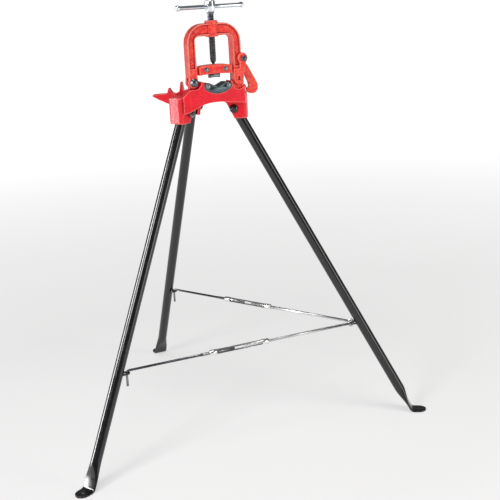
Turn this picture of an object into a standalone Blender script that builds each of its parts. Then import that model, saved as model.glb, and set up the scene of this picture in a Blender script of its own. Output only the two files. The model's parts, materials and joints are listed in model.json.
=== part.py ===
"""Yoke pipe vise on a folding tripod stand, in metres, +Z up.

The origin is on the ground under the middle of the stand's outline. X runs along the width of the
yoke, Y is the direction of a clamped pipe, and the front with the jaw bolts faces -Y.
"""
import math

import bmesh
import bpy
from mathutils import Matrix, Vector

# Clearances shared by all pieces
fit_gap = 0.0003
cut_overrun = 0.004
weld_distance = 0.00002
join_step = 0.0003
merge_distance = 0.00001

# Legs: steel pipe, each swinging on a bolt in a socket of the head
leg_diameter = 0.0272
leg_wall = 0.0028
leg_splay = math.radians(27.8)
leg_azimuths = {"right": -30.0, "left": -150.0, "rear": 90.0}
hinge_reach = 0.0828
hinge_height = 0.857
leg_above_hinge = 0.0265
hinge_bolt_diameter = 0.0125
hinge_bolt_head_diameter = 0.0235
hinge_bolt_head_height = 0.0085
hinge_nut_across = 0.020
hinge_nut_height = 0.009
hinge_bolt_end = 0.003

# Feet: the pipe's end is pressed flat, bent level and drilled
foot_thickness = 0.0056
foot_bend_radius = 0.012
foot_flat_length = 0.010
foot_flare_length = 0.058
foot_hole_reach = 0.0195
foot_hole_diameter = 0.011
leg_bore_stop = 0.020

# Head casting: a three-cornered crown with a socket at each corner
crown_top_above_hinge = 0.0417
crown_depth = 0.0175
crown_plate = 0.0085
crown_wall = 0.0085
crown_inset = 0.0055
crown_edge_round = 0.0035
socket_outer_reach = 0.1160
socket_wall = 0.0038
socket_half_width = 0.0222
socket_depth = 0.0672
socket_corner_round = 0.0095
socket_roof = 0.0100
socket_side_gap = 0.0004
socket_throat_reach = 0.0645
socket_throat_depth = 0.0277
socket_toe_reach = 0.082
socket_toe_depth = 0.0647
socket_root_reach = 0.050

# Vise body on the crown, measured from the screw's axis and from the crown's top
screw_offset_x = 0.008
screw_offset_y = -0.068
body_half_width = 0.0750
body_front = 0.020
body_back = 0.020
body_shoulder_left = 0.0353
body_shoulder_right = 0.0333
body_side_top = 0.0168
body_arch_drop = 0.0177
body_arch_mid_drop = 0.0217
body_arch_mid_reach = 0.038
body_left_drop = 0.0377
body_right_drop = 0.0257
body_flare = 0.016
body_wing_drop = 0.0045
body_edge_round = 0.0022
body_panel = 0.0098

# Lower jaw in its seat
jaw_offset = 0.0020
jaw_half_width = 0.0370
jaw_front = 0.0203
jaw_back = 0.018
jaw_top = 0.0305
jaw_vee_half_width = 0.0210
jaw_vee_bottom = 0.0205
jaw_end_bottom = 0.0175
jaw_end_round = 0.0060
jaw_belly_bottom = 0.0038
jaw_tooth_pitch = 0.0035
jaw_tooth_depth = 0.0010
jaw_bolt_reach = 0.0280
jaw_bolt_height = 0.0232
jaw_bolt_head_diameter = 0.0130
jaw_bolt_head_height = 0.0042
jaw_bolt_shank_diameter = 0.0070
jaw_bolt_length = 0.012

# Yoke
yoke_inner_half_width = 0.049
yoke_leg_width = 0.0235
yoke_depth = 0.030
yoke_window_top = 0.1468
yoke_bar_height = 0.0310
yoke_outer_round = 0.048
yoke_inner_round = 0.012
yoke_outer_flange = 0.0036
yoke_inner_flange = 0.0048
yoke_web = 0.0185
yoke_recess_bottom = 0.0683
yoke_boss_diameter = 0.0336
yoke_boss_top = 0.1843
yoke_boss_shelf = 0.0030
yoke_edge_round = 0.0016
pivot_reach = 0.0605
pivot_height = 0.0348
pivot_foot_radius = 0.0137
pivot_seat_radius = 0.0175
pivot_tongue_radius = 0.0111
pivot_tongue_thickness = 0.0110
pivot_bolt_diameter = 0.0100
pivot_bolt_head_diameter = 0.0185
pivot_bolt_head_height = 0.0065
pivot_washer_diameter = 0.0215
pivot_washer_height = 0.0018
pivot_nut_across = 0.0165
pivot_nut_height = 0.0075
pivot_bolt_end = 0.002
latch_foot_reach = 0.0595
latch_foot_height = 0.0286
latch_foot_radius = 0.0184
latch_foot_top = 0.0310
latch_tab_left = 0.0479
latch_tab_right = 0.0743
latch_tab_bottom = 0.0220
latch_tab_top = 0.0616
latch_tab_notch = 0.0640
latch_tab_thickness = 0.0090
latch_tab_hole_width = 0.008
latch_tab_hole_height = 0.010
latch_tab_hole_bottom = 0.0323
latch_tab_hole_depth = 0.005

# Latch hook in the yoke's ear
latch_reach = 0.0768
latch_height = 0.0858
latch_ear_reach = 0.0742
latch_ear_height = 0.0868
latch_ear_radius = 0.0136
latch_ear_neck = 0.0650
latch_ear_neck_height = 0.0735
latch_ear_proud = 0.0042
latch_slot_width = 0.0120
latch_hook_side_gap = 0.0004
latch_eye_radius = 0.0098
latch_bolt_diameter = 0.0078
latch_bolt_head_diameter = 0.0150
latch_bolt_head_height = 0.0055
latch_nut_across = 0.0135
latch_nut_height = 0.0065
latch_bolt_end = 0.002
latch_hook_drop = 0.0919
latch_hook_reach = 0.0420
latch_lug_inner = 0.0665
latch_lug_outer = 0.0756
latch_lug_end = math.radians(6.8)
latch_lug_bury = 0.0061
latch_mouth_gap = 0.0003
latch_mouth_end = math.radians(13.9)
latch_mouth_start = math.radians(-12.0)
latch_relief_past_socket = 0.0005
latch_relief_top = 0.0060
latch_relief_depth = 0.0100

# Crosshead and upper jaw
crosshead_half_width = 0.0450
crosshead_front = 0.018
crosshead_back = 0.0147
crosshead_end_top = 0.0713
crosshead_mid_top = 0.0763
crosshead_end_bottom = 0.0503
crosshead_mid_bottom = 0.0529
crosshead_tongue_width = 0.012
crosshead_edge_round = 0.0020
crosshead_socket_depth = 0.014
crosshead_pin_reach = 0.0265
crosshead_pin_height = 0.0646
crosshead_pin_head_diameter = 0.0120
crosshead_pin_head_height = 0.0022
crosshead_pin_shank_diameter = 0.0070
crosshead_pin_length = 0.010
upper_jaw_half_width = 0.0136
upper_jaw_bottom = 0.0426
upper_jaw_front = 0.0085
upper_jaw_back = 0.0085
upper_jaw_hollow = 0.0012

# Screw, hub and tommy bar
screw_diameter = 0.0167
screw_neck_diameter = 0.0075
screw_neck_length = 0.0060
screw_collar_diameter = 0.0190
screw_collar_height = 0.0045
hub_diameter = 0.0255
hub_bottom = 0.2043
hub_height = 0.0280
hub_edge_round = 0.0022
bar_diameter = 0.0105
bar_length = 0.214
bar_knob_diameter = 0.0150
bar_knob_length = 0.0130
bar_turn = math.radians(16.0)
bar_height_share = 0.47

# Stays between the right leg and the other two
stay_height = 0.260
eye_wire = 0.0055
eye_reach = 0.0320
eye_half_width = 0.0078
ring_half_width = 0.0095
ring_centre_reach = 0.0200
ring_turn = 45.0
stay_loop_wire = 0.0050
stay_loop_radius = 0.0070
stay_loop_offset = 0.0005
stay_rod_diameter = 0.0076
stay_thread_length = 0.070
stay_tail_drop = 0.040
stay_tail_diameter = 0.0062
body_starts = {"front": 0.2512, "rear": 0.2690}
tensioner_length = 0.168
tensioner_boss_length = 0.0185
tensioner_boss_diameter = 0.0150
tensioner_height = 0.0150
tensioner_width = 0.0120
tensioner_slot = 0.0094

# Bender beak on the crown's left rear side
bender_azimuth = 150.0
bender_thickness = 0.024
bender_root_reach = 0.048
bender_tip_reach = 0.131
bender_rise = 0.0343
bender_drop = 0.0300
bender_edge_round = 0.0018

# Outlines as shares of the sizes that they follow
hook_outline_shares = [
    (0.20, -0.10, 0.08),
    (0.38, -0.205, 0.10),
    (0.80, -0.560, 0.30),
    (1.00, -0.735, 0.10),
    (1.00, -0.880, 0.10),
    (0.86, -0.975, 0.08),
    (0.62, -1.000, 0.06),
    (0.43, -0.985, 0.04),
    (0.30, -0.930, 0.03),
    (0.240, -0.880, 0.03),
    (0.245, -0.800, 0.02),
    (0.39, -0.710, 0.02),
    (0.34, -0.640, 0.06),
    (0.10, -0.400, 0.20),
    (0.02, -0.200, 0.10),
]
bender_outline_shares = [
    (0.00, -0.95, 0.00),
    (0.42, -0.93, 0.10),
    (0.80, -0.44, 0.08),
    (1.00, -0.13, 0.02),
    (1.00, 0.02, 0.02),
    (0.62, 0.06, 0.04),
    (0.525, 0.08, 0.03),
    (0.475, 0.56, 0.02),
    (0.36, 0.10, 0.05),
    (0.27, 0.05, 0.06),
    (0.13, 0.22, 0.05),
    (0.085, 1.00, 0.02),
    (0.03, 0.78, 0.03),
    (0.00, 0.20, 0.00),
]

# Sizes that follow from the ones above
leg_radius = leg_diameter / 2
crown_top = hinge_height + crown_top_above_hinge
foot_flat_radius = foot_thickness / 2
foot_straight = (math.pi * leg_diameter - math.pi * foot_thickness) / 4
foot_half_width = foot_straight + foot_flat_radius
leg_run = (hinge_height - foot_flat_radius) / math.cos(leg_splay)
foot_centre = hinge_reach + leg_run * math.sin(leg_splay) + foot_hole_reach
front_share = math.sin(math.radians(30.0))
stand_back = foot_centre + foot_half_width
stand_front = foot_centre * front_share + foot_half_width
stand_y = (stand_front - stand_back) / 2
socket_inner_half_width = leg_radius + socket_side_gap
socket_corner_apothem = socket_outer_reach * front_share + socket_half_width * math.cos(math.radians(30.0))
crown_apothem = socket_corner_apothem - crown_inset
latch_lug_root = math.asin((body_half_width - latch_lug_bury - latch_reach) / latch_lug_outer)
latch_relief_reach = socket_outer_reach * math.cos(math.radians(30.0)) + latch_relief_past_socket
yoke_half_width = yoke_inner_half_width + yoke_leg_width
yoke_top = yoke_window_top + yoke_bar_height
stay_tail_bend = stay_tail_diameter / 2 + eye_wire / 2 + fit_gap
stay_tail_reach = eye_reach - eye_wire / 2 - stay_tail_bend
eye_height = stay_height - stay_tail_bend

# Colours from the photograph
paint_red = (0.80, 0.022, 0.045)
gloss_black = (0.012, 0.012, 0.014)
dark_steel = (0.075, 0.095, 0.105)
bright_chrome = (0.62, 0.66, 0.70)
zinc_grey = (0.56, 0.57, 0.56)
blued_steel = (0.12, 0.125, 0.13)


def clear_scene():
    for item in list(bpy.data.objects):
        bpy.data.objects.remove(item)


def make_collection(name):
    made = bpy.data.collections.new(name)
    bpy.context.scene.collection.children.link(made)
    return made


clear_scene()
model = make_collection("pipe_vise_stand")
cutters = make_collection("cutters")


def material(name, colour, roughness, metallic):
    made = bpy.data.materials.new(name)
    made.use_nodes = True
    shader = made.node_tree.nodes["Principled BSDF"]
    shader.inputs["Base Color"].default_value = (*colour, 1.0)
    shader.inputs["Roughness"].default_value = roughness
    shader.inputs["Metallic"].default_value = metallic
    return made


red_paint = material("red_paint", paint_red, 0.35, 0.0)
black_paint = material("black_paint", gloss_black, 0.18, 0.0)
jaw_steel = material("jaw_steel", dark_steel, 0.45, 0.9)
chrome = material("chrome", bright_chrome, 0.15, 1.0)
zinc = material("zinc", zinc_grey, 0.30, 1.0)
plain_steel = material("plain_steel", blued_steel, 0.35, 0.9)


def empty(name, parent=None, location=(0.0, 0.0, 0.0), turn=0.0):
    made = bpy.data.objects.new(name, None)
    model.objects.link(made)
    made.parent = parent
    made.location = location
    made.rotation_euler = (0.0, 0.0, turn)
    return made


def link(name, mesh, parent, surface=None, matrix=None):
    """An object in the model, or a hidden cutter where it has no surface."""
    made = bpy.data.objects.new(name, mesh)
    if surface is None:
        cutters.objects.link(made)
        made.hide_render = True
        made.display_type = "WIRE"
    else:
        model.objects.link(made)
        mesh.materials.clear()
        mesh.materials.append(surface)
    made.parent = parent
    if matrix is not None:
        made.matrix_local = matrix
    return made


def finish_bmesh(work, name):
    bmesh.ops.recalc_face_normals(work, faces=work.faces)
    mesh = bpy.data.meshes.new(name)
    work.to_mesh(mesh)
    work.free()
    return mesh


def box_mesh(name, low, high):
    work = bmesh.new()
    bmesh.ops.create_cube(work, size=1.0)
    span = [b - a for a, b in zip(low, high)]
    middle = [(a + b) / 2 for a, b in zip(low, high)]
    bmesh.ops.scale(work, vec=span, verts=work.verts)
    bmesh.ops.translate(work, vec=middle, verts=work.verts)
    return finish_bmesh(work, name)


def along(direction):
    """Turns +Z to a direction."""
    return Vector(direction).to_track_quat("Z", "Y").to_matrix().to_4x4()


def rod_mesh(name, start, end, radius, sides=20):
    """A plain round bar between two points."""
    start = Vector(start)
    end = Vector(end)
    work = bmesh.new()
    bmesh.ops.create_cone(
        work, cap_ends=True, segments=sides, radius1=radius, radius2=radius, depth=(end - start).length
    )
    placing = Matrix.Translation((start + end) / 2) @ along(end - start)
    bmesh.ops.transform(work, matrix=placing, verts=work.verts)
    mesh = finish_bmesh(work, name)
    mesh.shade_smooth()
    mesh.set_sharp_from_angle(angle=math.radians(35.0))
    return mesh


def evaluated_mesh(item):
    bpy.context.view_layer.update()
    graph = bpy.context.evaluated_depsgraph_get()
    return bpy.data.meshes.new_from_object(item.evaluated_get(graph))


def curve_to_mesh(name, curve, dissolve=False):
    """The evaluated curve as a welded mesh."""
    guide = bpy.data.objects.new(name, curve)
    cutters.objects.link(guide)
    mesh = evaluated_mesh(guide)
    bpy.data.objects.remove(guide)
    work = bmesh.new()
    work.from_mesh(mesh)
    bmesh.ops.remove_doubles(work, verts=work.verts, dist=weld_distance)
    if dissolve:
        bmesh.ops.dissolve_limit(work, angle_limit=math.radians(0.5), verts=work.verts, edges=work.edges)
    return finish_bmesh(work, name)


def outline_mesh(name, outline, low, high, lay="front"):
    """A flat outline made solid between two planes: front outlines are (x, z), plan ones (x, y)."""
    curve = bpy.data.curves.new(name, "CURVE")
    curve.dimensions = "2D"
    curve.fill_mode = "BOTH"
    curve.extrude = (high - low) / 2
    spline = curve.splines.new("POLY")
    spline.points.add(len(outline) - 1)
    for point, (u, v) in zip(spline.points, outline):
        point.co = (u, v, 0.0, 1.0)
    spline.use_cyclic_u = True
    mesh = curve_to_mesh(name, curve, dissolve=True)
    mesh.shade_smooth()
    mesh.set_sharp_from_angle(angle=math.radians(35.0))
    middle = (low + high) / 2
    if lay == "front":
        mesh.transform(Matrix.Translation((0.0, middle, 0.0)) @ Matrix.Rotation(math.radians(90.0), 4, "X"))
    else:
        mesh.transform(Matrix.Translation((0.0, 0.0, middle)))
    return mesh


def tube_mesh(name, points, radius, bevel_resolution=2, cyclic=False):
    """A wire along points."""
    curve = bpy.data.curves.new(name, "CURVE")
    curve.dimensions = "3D"
    curve.bevel_depth = radius
    curve.bevel_resolution = bevel_resolution
    curve.use_fill_caps = True
    spline = curve.splines.new("POLY")
    spline.points.add(len(points) - 1)
    for point, place in zip(spline.points, points):
        point.co = (*place, 1.0)
    spline.use_cyclic_u = cyclic
    mesh = curve_to_mesh(name, curve)
    mesh.shade_smooth()
    mesh.set_sharp_from_angle(angle=math.radians(50.0))
    return mesh


def turned(name, profile, parent, surface, steps=24):
    """A profile of (radius, height), top to bottom, turned about Z."""
    mesh = bpy.data.meshes.new(name)
    points = [(radius, 0.0, height) for radius, height in profile]
    mesh.from_pydata(points, [(i, i + 1) for i in range(len(points) - 1)], [])
    made = link(name, mesh, parent, surface)
    screw = made.modifiers.new("turn", "SCREW")
    screw.steps = steps
    screw.render_steps = steps
    screw.use_merge_vertices = True
    screw.merge_threshold = merge_distance
    screw.use_smooth_shade = True
    return made


def arc(centre, radius, start, end, count):
    """Points on an arc, with angles in degrees."""
    points = []
    for i in range(count + 1):
        angle = math.radians(start + (end - start) * i / count)
        points.append((centre[0] + radius * math.cos(angle), centre[1] + radius * math.sin(angle)))
    return points


def rounded(corners, steps=3):
    """An outline of (u, v, radius) corners with each corner turned into an arc."""
    points = []
    count = len(corners)
    for i, (u, v, radius) in enumerate(corners):
        here = Vector((u, v))
        before = Vector(corners[i - 1][:2]) - here
        after = Vector(corners[(i + 1) % count][:2]) - here
        opening = before.angle(after)
        if radius <= 0.0 or opening > math.radians(178.0):
            points.append((u, v))
            continue
        setback = radius / math.tan(opening / 2)
        longest = min(before.length, after.length) * 0.48
        if setback > longest:
            radius = radius * longest / setback
            setback = longest
        middle = here + (before.normalized() + after.normalized()).normalized() * radius / math.sin(opening / 2)
        first = here + before.normalized() * setback - middle
        last = here + after.normalized() * setback - middle
        sweep = first.angle_signed(last)
        for k in range(steps + 1):
            spoke = Matrix.Rotation(-sweep * k / steps, 2) @ first
            points.append(tuple(middle + spoke))
    return points


def bevel(item, width, segments=2, angle=40.0):
    made = item.modifiers.new("round edges", "BEVEL")
    made.width = width
    made.segments = segments
    made.limit_method = "ANGLE"
    made.angle_limit = math.radians(angle)
    made.use_clamp_overlap = True
    made.harden_normals = False
    return item


def join(item, other, operation="UNION"):
    made = item.modifiers.new(operation.lower(), "BOOLEAN")
    made.operation = operation
    made.solver = "EXACT"
    made.object = other
    return item


def cut(item, other):
    return join(item, other, "DIFFERENCE")


def settle(item):
    """Turns the modifiers into plain mesh, so that copies can share it."""
    mesh = evaluated_mesh(item)
    item.modifiers.clear()
    item.data = mesh
    return item


def set_origin(item, place):
    """Moves the origin to a point in the parent's frame and leaves the shape where it is."""
    shift = Vector(place) - item.location
    item.data.transform(Matrix.Translation(-shift))
    item.location = Vector(place)
    return item


def hexagon(across, low, high, name, bore=0.0):
    """A hexagonal nut about Z, with a bore if it has one."""
    radius = across / 2 / math.cos(math.radians(30.0))
    work = bmesh.new()
    bmesh.ops.create_cone(work, cap_ends=True, segments=6, radius1=radius, radius2=radius, depth=high - low)
    bmesh.ops.translate(work, vec=(0.0, 0.0, (low + high) / 2), verts=work.verts)
    return finish_bmesh(work, name)


stand = empty("stand", None, (0.0, stand_y, 0.0))
vise = empty("vise", stand, (screw_offset_x, screw_offset_y, crown_top))


def leg_frame(name):
    """An empty on a leg's hinge: X points outward, Y along the hinge bolt, Z up."""
    azimuth = math.radians(leg_azimuths[name])
    place = (hinge_reach * math.cos(azimuth), hinge_reach * math.sin(azimuth), hinge_height)
    return empty(name + "_leg_hinge", stand, place, azimuth)


leg_hinges = {name: leg_frame(name) for name in leg_azimuths}


def section(centre, direction, half_straight, radius, count=16):
    """A ring of points: a circle, or two half circles moved apart along the bolt's direction."""
    across = Vector((-direction[1], direction[0]))
    ring = []
    for i in range(count):
        angle = 2 * math.pi * (i + 0.5) / count
        side = math.copysign(half_straight, math.cos(angle)) + radius * math.cos(angle)
        lift = radius * math.sin(angle)
        ring.append((centre[0] + across[0] * lift, side, centre[1] + across[1] * lift))
    return ring


def leg_stations():
    """Centre, direction, half straight and radius of each outer section, from the top end to the toe."""
    down = Vector((math.sin(leg_splay), -math.cos(leg_splay)))
    level = Vector((1.0, 0.0))
    turn = math.pi / 2 - leg_splay
    tangent = foot_bend_radius * math.tan(turn / 2)
    bend_start = leg_run - tangent
    flare_end = bend_start - foot_flat_length
    flare_start = flare_end - foot_flare_length
    stations = []
    for place in (-leg_above_hinge, leg_run / 3, flare_start):
        stations.append((down * place, down, 0.0, leg_radius))
    flare_steps = 4
    for i in range(1, flare_steps + 1):
        share = i / flare_steps
        eased = share * share * (3 - 2 * share)
        radius = leg_radius + (foot_flat_radius - leg_radius) * eased
        straight = (math.pi * leg_diameter - 2 * math.pi * radius) / 4
        stations.append((down * (flare_start + foot_flare_length * share), down, straight, radius))
    bend_steps = 3
    corner = down * bend_start
    middle = corner + Vector((math.cos(leg_splay), math.sin(leg_splay))) * foot_bend_radius
    for i in range(bend_steps + 1):
        angle = turn * i / bend_steps
        heading = Vector((math.sin(leg_splay + angle), -math.cos(leg_splay + angle)))
        inward = Vector((math.cos(leg_splay + angle), math.sin(leg_splay + angle)))
        stations.append((middle - inward * foot_bend_radius, heading, foot_straight, foot_flat_radius))
    toe = down * leg_run + level * foot_hole_reach
    toe_steps = 4
    for i in range(toe_steps):
        angle = math.radians(80.0) * i / (toe_steps - 1)
        half = foot_half_width * math.cos(angle) - foot_flat_radius
        place = toe + level * foot_half_width * math.sin(angle)
        stations.append((place, level, half, foot_flat_radius))
    return stations


def leg_mesh():
    """The pipe with its bore, its pressed foot and round toe, as one loft."""
    work = bmesh.new()
    stations = leg_stations()
    rings = [[work.verts.new(p) for p in section(*station)] for station in stations]
    down = stations[0][1]
    bore = leg_radius - leg_wall
    bore_end = leg_run - foot_bend_radius - foot_flat_length - foot_flare_length - leg_bore_stop
    inner = []
    for place in (-leg_above_hinge, bore_end):
        inner.append([work.verts.new(p) for p in section(down * place, down, 0.0, bore)])
    skin = [inner[1], inner[0]] + rings
    for first, second in zip(skin, skin[1:]):
        for i in range(len(first)):
            k = (i + 1) % len(first)
            work.faces.new((first[i], first[k], second[k], second[i]))
    work.faces.new(inner[1])
    work.faces.new(rings[-1])
    mesh = finish_bmesh(work, "leg")
    mesh.shade_smooth()
    mesh.set_sharp_from_angle(angle=math.radians(32.0))
    return mesh


def build_legs():
    """One leg is drilled and its mesh is shared by the other two."""
    first = link("right_leg", leg_mesh(), leg_hinges["right"], black_paint)
    half = leg_diameter
    drill = rod_mesh("hinge_drill", (0.0, -half, 0.0), (0.0, half, 0.0), hinge_bolt_diameter / 2 + fit_gap)
    cut(first, link("hinge_drill", drill, leg_hinges["right"]))
    toe_x = leg_run * math.sin(leg_splay) + foot_hole_reach
    floor = -hinge_height
    low = (toe_x, 0.0, floor - cut_overrun)
    high = (toe_x, 0.0, floor + foot_thickness + cut_overrun)
    cut(first, link("toe_drill", rod_mesh("toe_drill", low, high, foot_hole_diameter / 2), leg_hinges["right"]))
    settle(first)
    for name in ("left", "rear"):
        link(name + "_leg", first.data, leg_hinges[name], black_paint)
    return first


def build_hinge_bolts():
    """A domed bolt through each socket, with its nut on the far cheek."""
    head_radius = hinge_bolt_head_diameter / 2
    shank = hinge_bolt_diameter / 2
    seat = socket_half_width + fit_gap
    dome = arc((0.0, seat), 1.0, 90.0, 0.0, 5)
    profile = [(head_radius * u, seat + hinge_bolt_head_height * (v - seat)) for u, v in dome]
    end = -seat - hinge_nut_height - hinge_bolt_end
    profile += [(head_radius, seat), (shank, seat), (shank, end), (0.0, end)]
    half_turn = Matrix.Rotation(math.radians(90.0), 4, "X")
    bolt = settle(turned("right_leg_bolt", profile, leg_hinges["right"], black_paint, 16))
    bolt.data.transform(half_turn)
    nut = hexagon(hinge_nut_across, -seat - hinge_nut_height, -seat, "right_leg_nut")
    nut_item = link("right_leg_nut", nut, leg_hinges["right"], plain_steel)
    nut.transform(half_turn)
    bore = rod_mesh(
        "nut_bore", (0.0, 0.0, 0.0), (0.0, 2 * (seat + hinge_nut_height), 0.0), shank + fit_gap, 20
    )
    cut(nut_item, link("nut_bore", bore, leg_hinges["right"]))
    settle(nut_item)
    for name in ("left", "rear"):
        link(name + "_leg_bolt", bolt.data, leg_hinges[name], black_paint)
        link(name + "_leg_nut", nut_item.data, leg_hinges[name], plain_steel)


def crown_outline(inset=0.0, corner=0.0):
    """The truncated triangle of the crown seen from above, drawn about the stand's centre."""
    reach = socket_outer_reach - inset
    apothem = crown_apothem - inset
    half = (apothem - reach * front_share) / math.cos(math.radians(30.0))
    corners = []
    for azimuth in (-150.0, -30.0, 90.0):
        outward = Vector((math.cos(math.radians(azimuth)), math.sin(math.radians(azimuth))))
        sideways = Vector((-outward[1], outward[0]))
        for side in (-half, half):
            place = outward * reach + sideways * side
            corners.append((place[0], place[1], corner))
    return rounded(corners, 3)


def build_crown():
    crown = link(
        "base_casting",
        outline_mesh("crown", crown_outline(0.0, socket_corner_round), -crown_depth, 0.0, "plan"),
        vise_stand,
        red_paint,
    )
    bevel(crown, crown_edge_round, 2)
    inner = crown_outline(crown_wall, socket_corner_round / 2)
    hollow = outline_mesh("crown_hollow", inner, -crown_depth - cut_overrun, -crown_plate, "plan")
    cut(crown, link("crown_hollow", hollow, vise_stand))
    return crown


def socket_profile():
    """The side view of a socket block, drawn with X outward from the stand's centre."""
    return [
        (socket_root_reach, cut_overrun),
        (socket_outer_reach, cut_overrun),
        (socket_outer_reach, -socket_depth),
        (socket_toe_reach, -socket_toe_depth - (socket_depth - socket_toe_depth)),
        (socket_toe_reach, -socket_toe_depth),
        (socket_throat_reach, -socket_throat_depth),
        (socket_root_reach, -crown_depth),
    ]


def socket_plan():
    """The socket seen from above, with its two outer corners rounded."""
    half = socket_half_width
    return rounded(
        [
            (0.0, -half, 0.0),
            (socket_outer_reach, -half, socket_corner_round),
            (socket_outer_reach, half, socket_corner_round),
            (0.0, half, 0.0),
        ],
        5,
    )


def build_sockets(casting):
    """Joins the three socket blocks and opens their slots and bolt holes."""
    slots = []
    for name, azimuth in leg_azimuths.items():
        frame = Matrix.Rotation(math.radians(azimuth), 4, "Z")
        block = outline_mesh(name + "_socket", socket_profile(), -socket_half_width, socket_half_width)
        block_item = link(name + "_socket", block, vise_stand, None, frame)
        plan = outline_mesh(name + "_socket_plan", socket_plan(), -socket_depth - cut_overrun, -join_step, "plan")
        plan_item = link(name + "_socket_plan", plan, vise_stand, None, frame)
        bevel(plan_item, crown_edge_round, 2, 60.0)
        join(block_item, plan_item, "INTERSECT")
        join(casting, block_item)
        low = (0.0, -socket_inner_half_width, -socket_depth - cut_overrun)
        high = (socket_outer_reach - socket_wall, socket_inner_half_width, -socket_roof)
        slot = link(name + "_slot", box_mesh(name + "_slot", low, high), vise_stand, None, frame)
        drop = -crown_top_above_hinge
        half = socket_half_width + cut_overrun
        drill = rod_mesh(
            name + "_hinge_hole",
            (hinge_reach, -half, drop),
            (hinge_reach, half, drop),
            hinge_bolt_diameter / 2 + fit_gap,
            20,
        )
        slots += [slot, link(name + "_hinge_hole", drill, vise_stand, None, frame)]
    return slots


def body_front_outline():
    """The vise body seen from the front, measured from the screw's axis and the crown's top."""
    flare = body_half_width + body_flare
    arch = []
    for reach, drop in (
        (-flare, body_left_drop + body_wing_drop),
        (-body_half_width, body_left_drop),
        (-body_arch_mid_reach, body_arch_mid_drop),
        (0.0, body_arch_drop),
        (body_arch_mid_reach, body_arch_mid_drop),
        (body_half_width, body_right_drop),
        (flare, body_right_drop),
    ):
        arch.append((reach, -drop))
    bottom = smooth_arch(arch[:6])
    left_wall = pivot_reach - pivot_seat_radius
    right_wall = latch_foot_reach - latch_foot_radius - fit_gap
    top = [
        (flare, 0.0),
        (body_half_width, body_side_top),
        (right_wall + body_edge_round, body_side_top + body_edge_round),
        (right_wall, body_shoulder_right),
        (jaw_offset + jaw_half_width - body_edge_round, body_shoulder_right),
        (jaw_offset - jaw_half_width + body_edge_round, body_shoulder_left),
        (-left_wall, body_shoulder_left),
        (-pivot_reach, body_side_top + body_edge_round),
        (-body_half_width, body_side_top),
        (-flare, 0.0),
    ]
    return bottom + [arch[6]] + top


def smooth_arch(knots, steps=4):
    """A smooth curve through the knots of the underside."""
    points = []
    count = len(knots)
    for i in range(count - 1):
        before = Vector(knots[max(i - 1, 0)])
        first = Vector(knots[i])
        second = Vector(knots[i + 1])
        after = Vector(knots[min(i + 2, count - 1)])
        for k in range(steps):
            t = k / steps
            place = first * 2 + (second - before) * t
            place += (before * 2 - first * 5 + second * 4 - after) * t * t
            place += (first * 3 - before - second * 3 + after) * t * t * t
            points.append(tuple(place / 2))
    points.append(tuple(knots[-1]))
    return points


def body_plan_outline():
    """The vise body seen from above: it widens from its front to the crown's front corners."""
    corner_x = socket_outer_reach * math.cos(math.radians(30.0)) - socket_half_width * front_share
    left = -corner_x - screw_offset_x
    right = corner_x - screw_offset_x
    edge = -socket_corner_apothem - screw_offset_y
    return rounded(
        [
            (-body_half_width, -body_front, body_edge_round),
            (body_half_width, -body_front, body_edge_round),
            (right, edge, body_edge_round),
            (body_half_width, -latch_slot_width / 2 - body_edge_round, 0.0),
            (body_half_width, body_back, body_edge_round),
            (-body_half_width, body_back, body_edge_round),
            (left, edge + body_edge_round, 0.0),
            (left, edge, body_edge_round),
        ],
        3,
    )


def jaw_outline(gap=0.0, high=0.0):
    """The lower jaw from the front, or its seat where a gap is given."""
    half = jaw_half_width + gap
    left_end = jaw_offset - half
    right_end = jaw_offset + half
    belly = []
    steps = 12
    for i in range(steps + 1):
        across = -half + 2 * half * i / steps
        share = 1.0 - (across / half) ** 2
        belly.append((jaw_offset + across, jaw_end_bottom - gap + (jaw_belly_bottom - jaw_end_bottom) * share, 0.0))
    round_end = jaw_end_round + gap
    belly[0] = (belly[0][0], belly[0][1], round_end)
    belly[-1] = (belly[-1][0], belly[-1][1], round_end)
    if high > 0.0:
        return rounded(belly + [(right_end, high, 0.0), (left_end, high, 0.0)], 3)
    right = [(x, z, 0.0) for x, z in vee_flank(1.0)]
    left = [(x, z, 0.0) for x, z in vee_flank(-1.0)]
    points = belly + [(right_end, jaw_top, jaw_end_round)] + right + [(jaw_offset, jaw_vee_bottom, 0.0)]
    return rounded(points + left[::-1] + [(left_end, jaw_top, jaw_end_round)], 3)


def vee_flank(side):
    """One flank of the jaw's V from its top edge down, with a row of teeth across it."""
    rise = jaw_top - jaw_vee_bottom
    length = math.hypot(jaw_vee_half_width, rise)
    count = int(length / jaw_tooth_pitch)
    points = []
    for i in range(2 * count):
        share = 1.0 - i / (2 * count)
        depth = jaw_tooth_depth if i % 2 else 0.0
        across = jaw_vee_half_width * share + depth * rise / length
        high = jaw_vee_bottom + rise * share - depth * jaw_vee_half_width / length
        points.append((jaw_offset + side * across, high))
    return points


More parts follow.
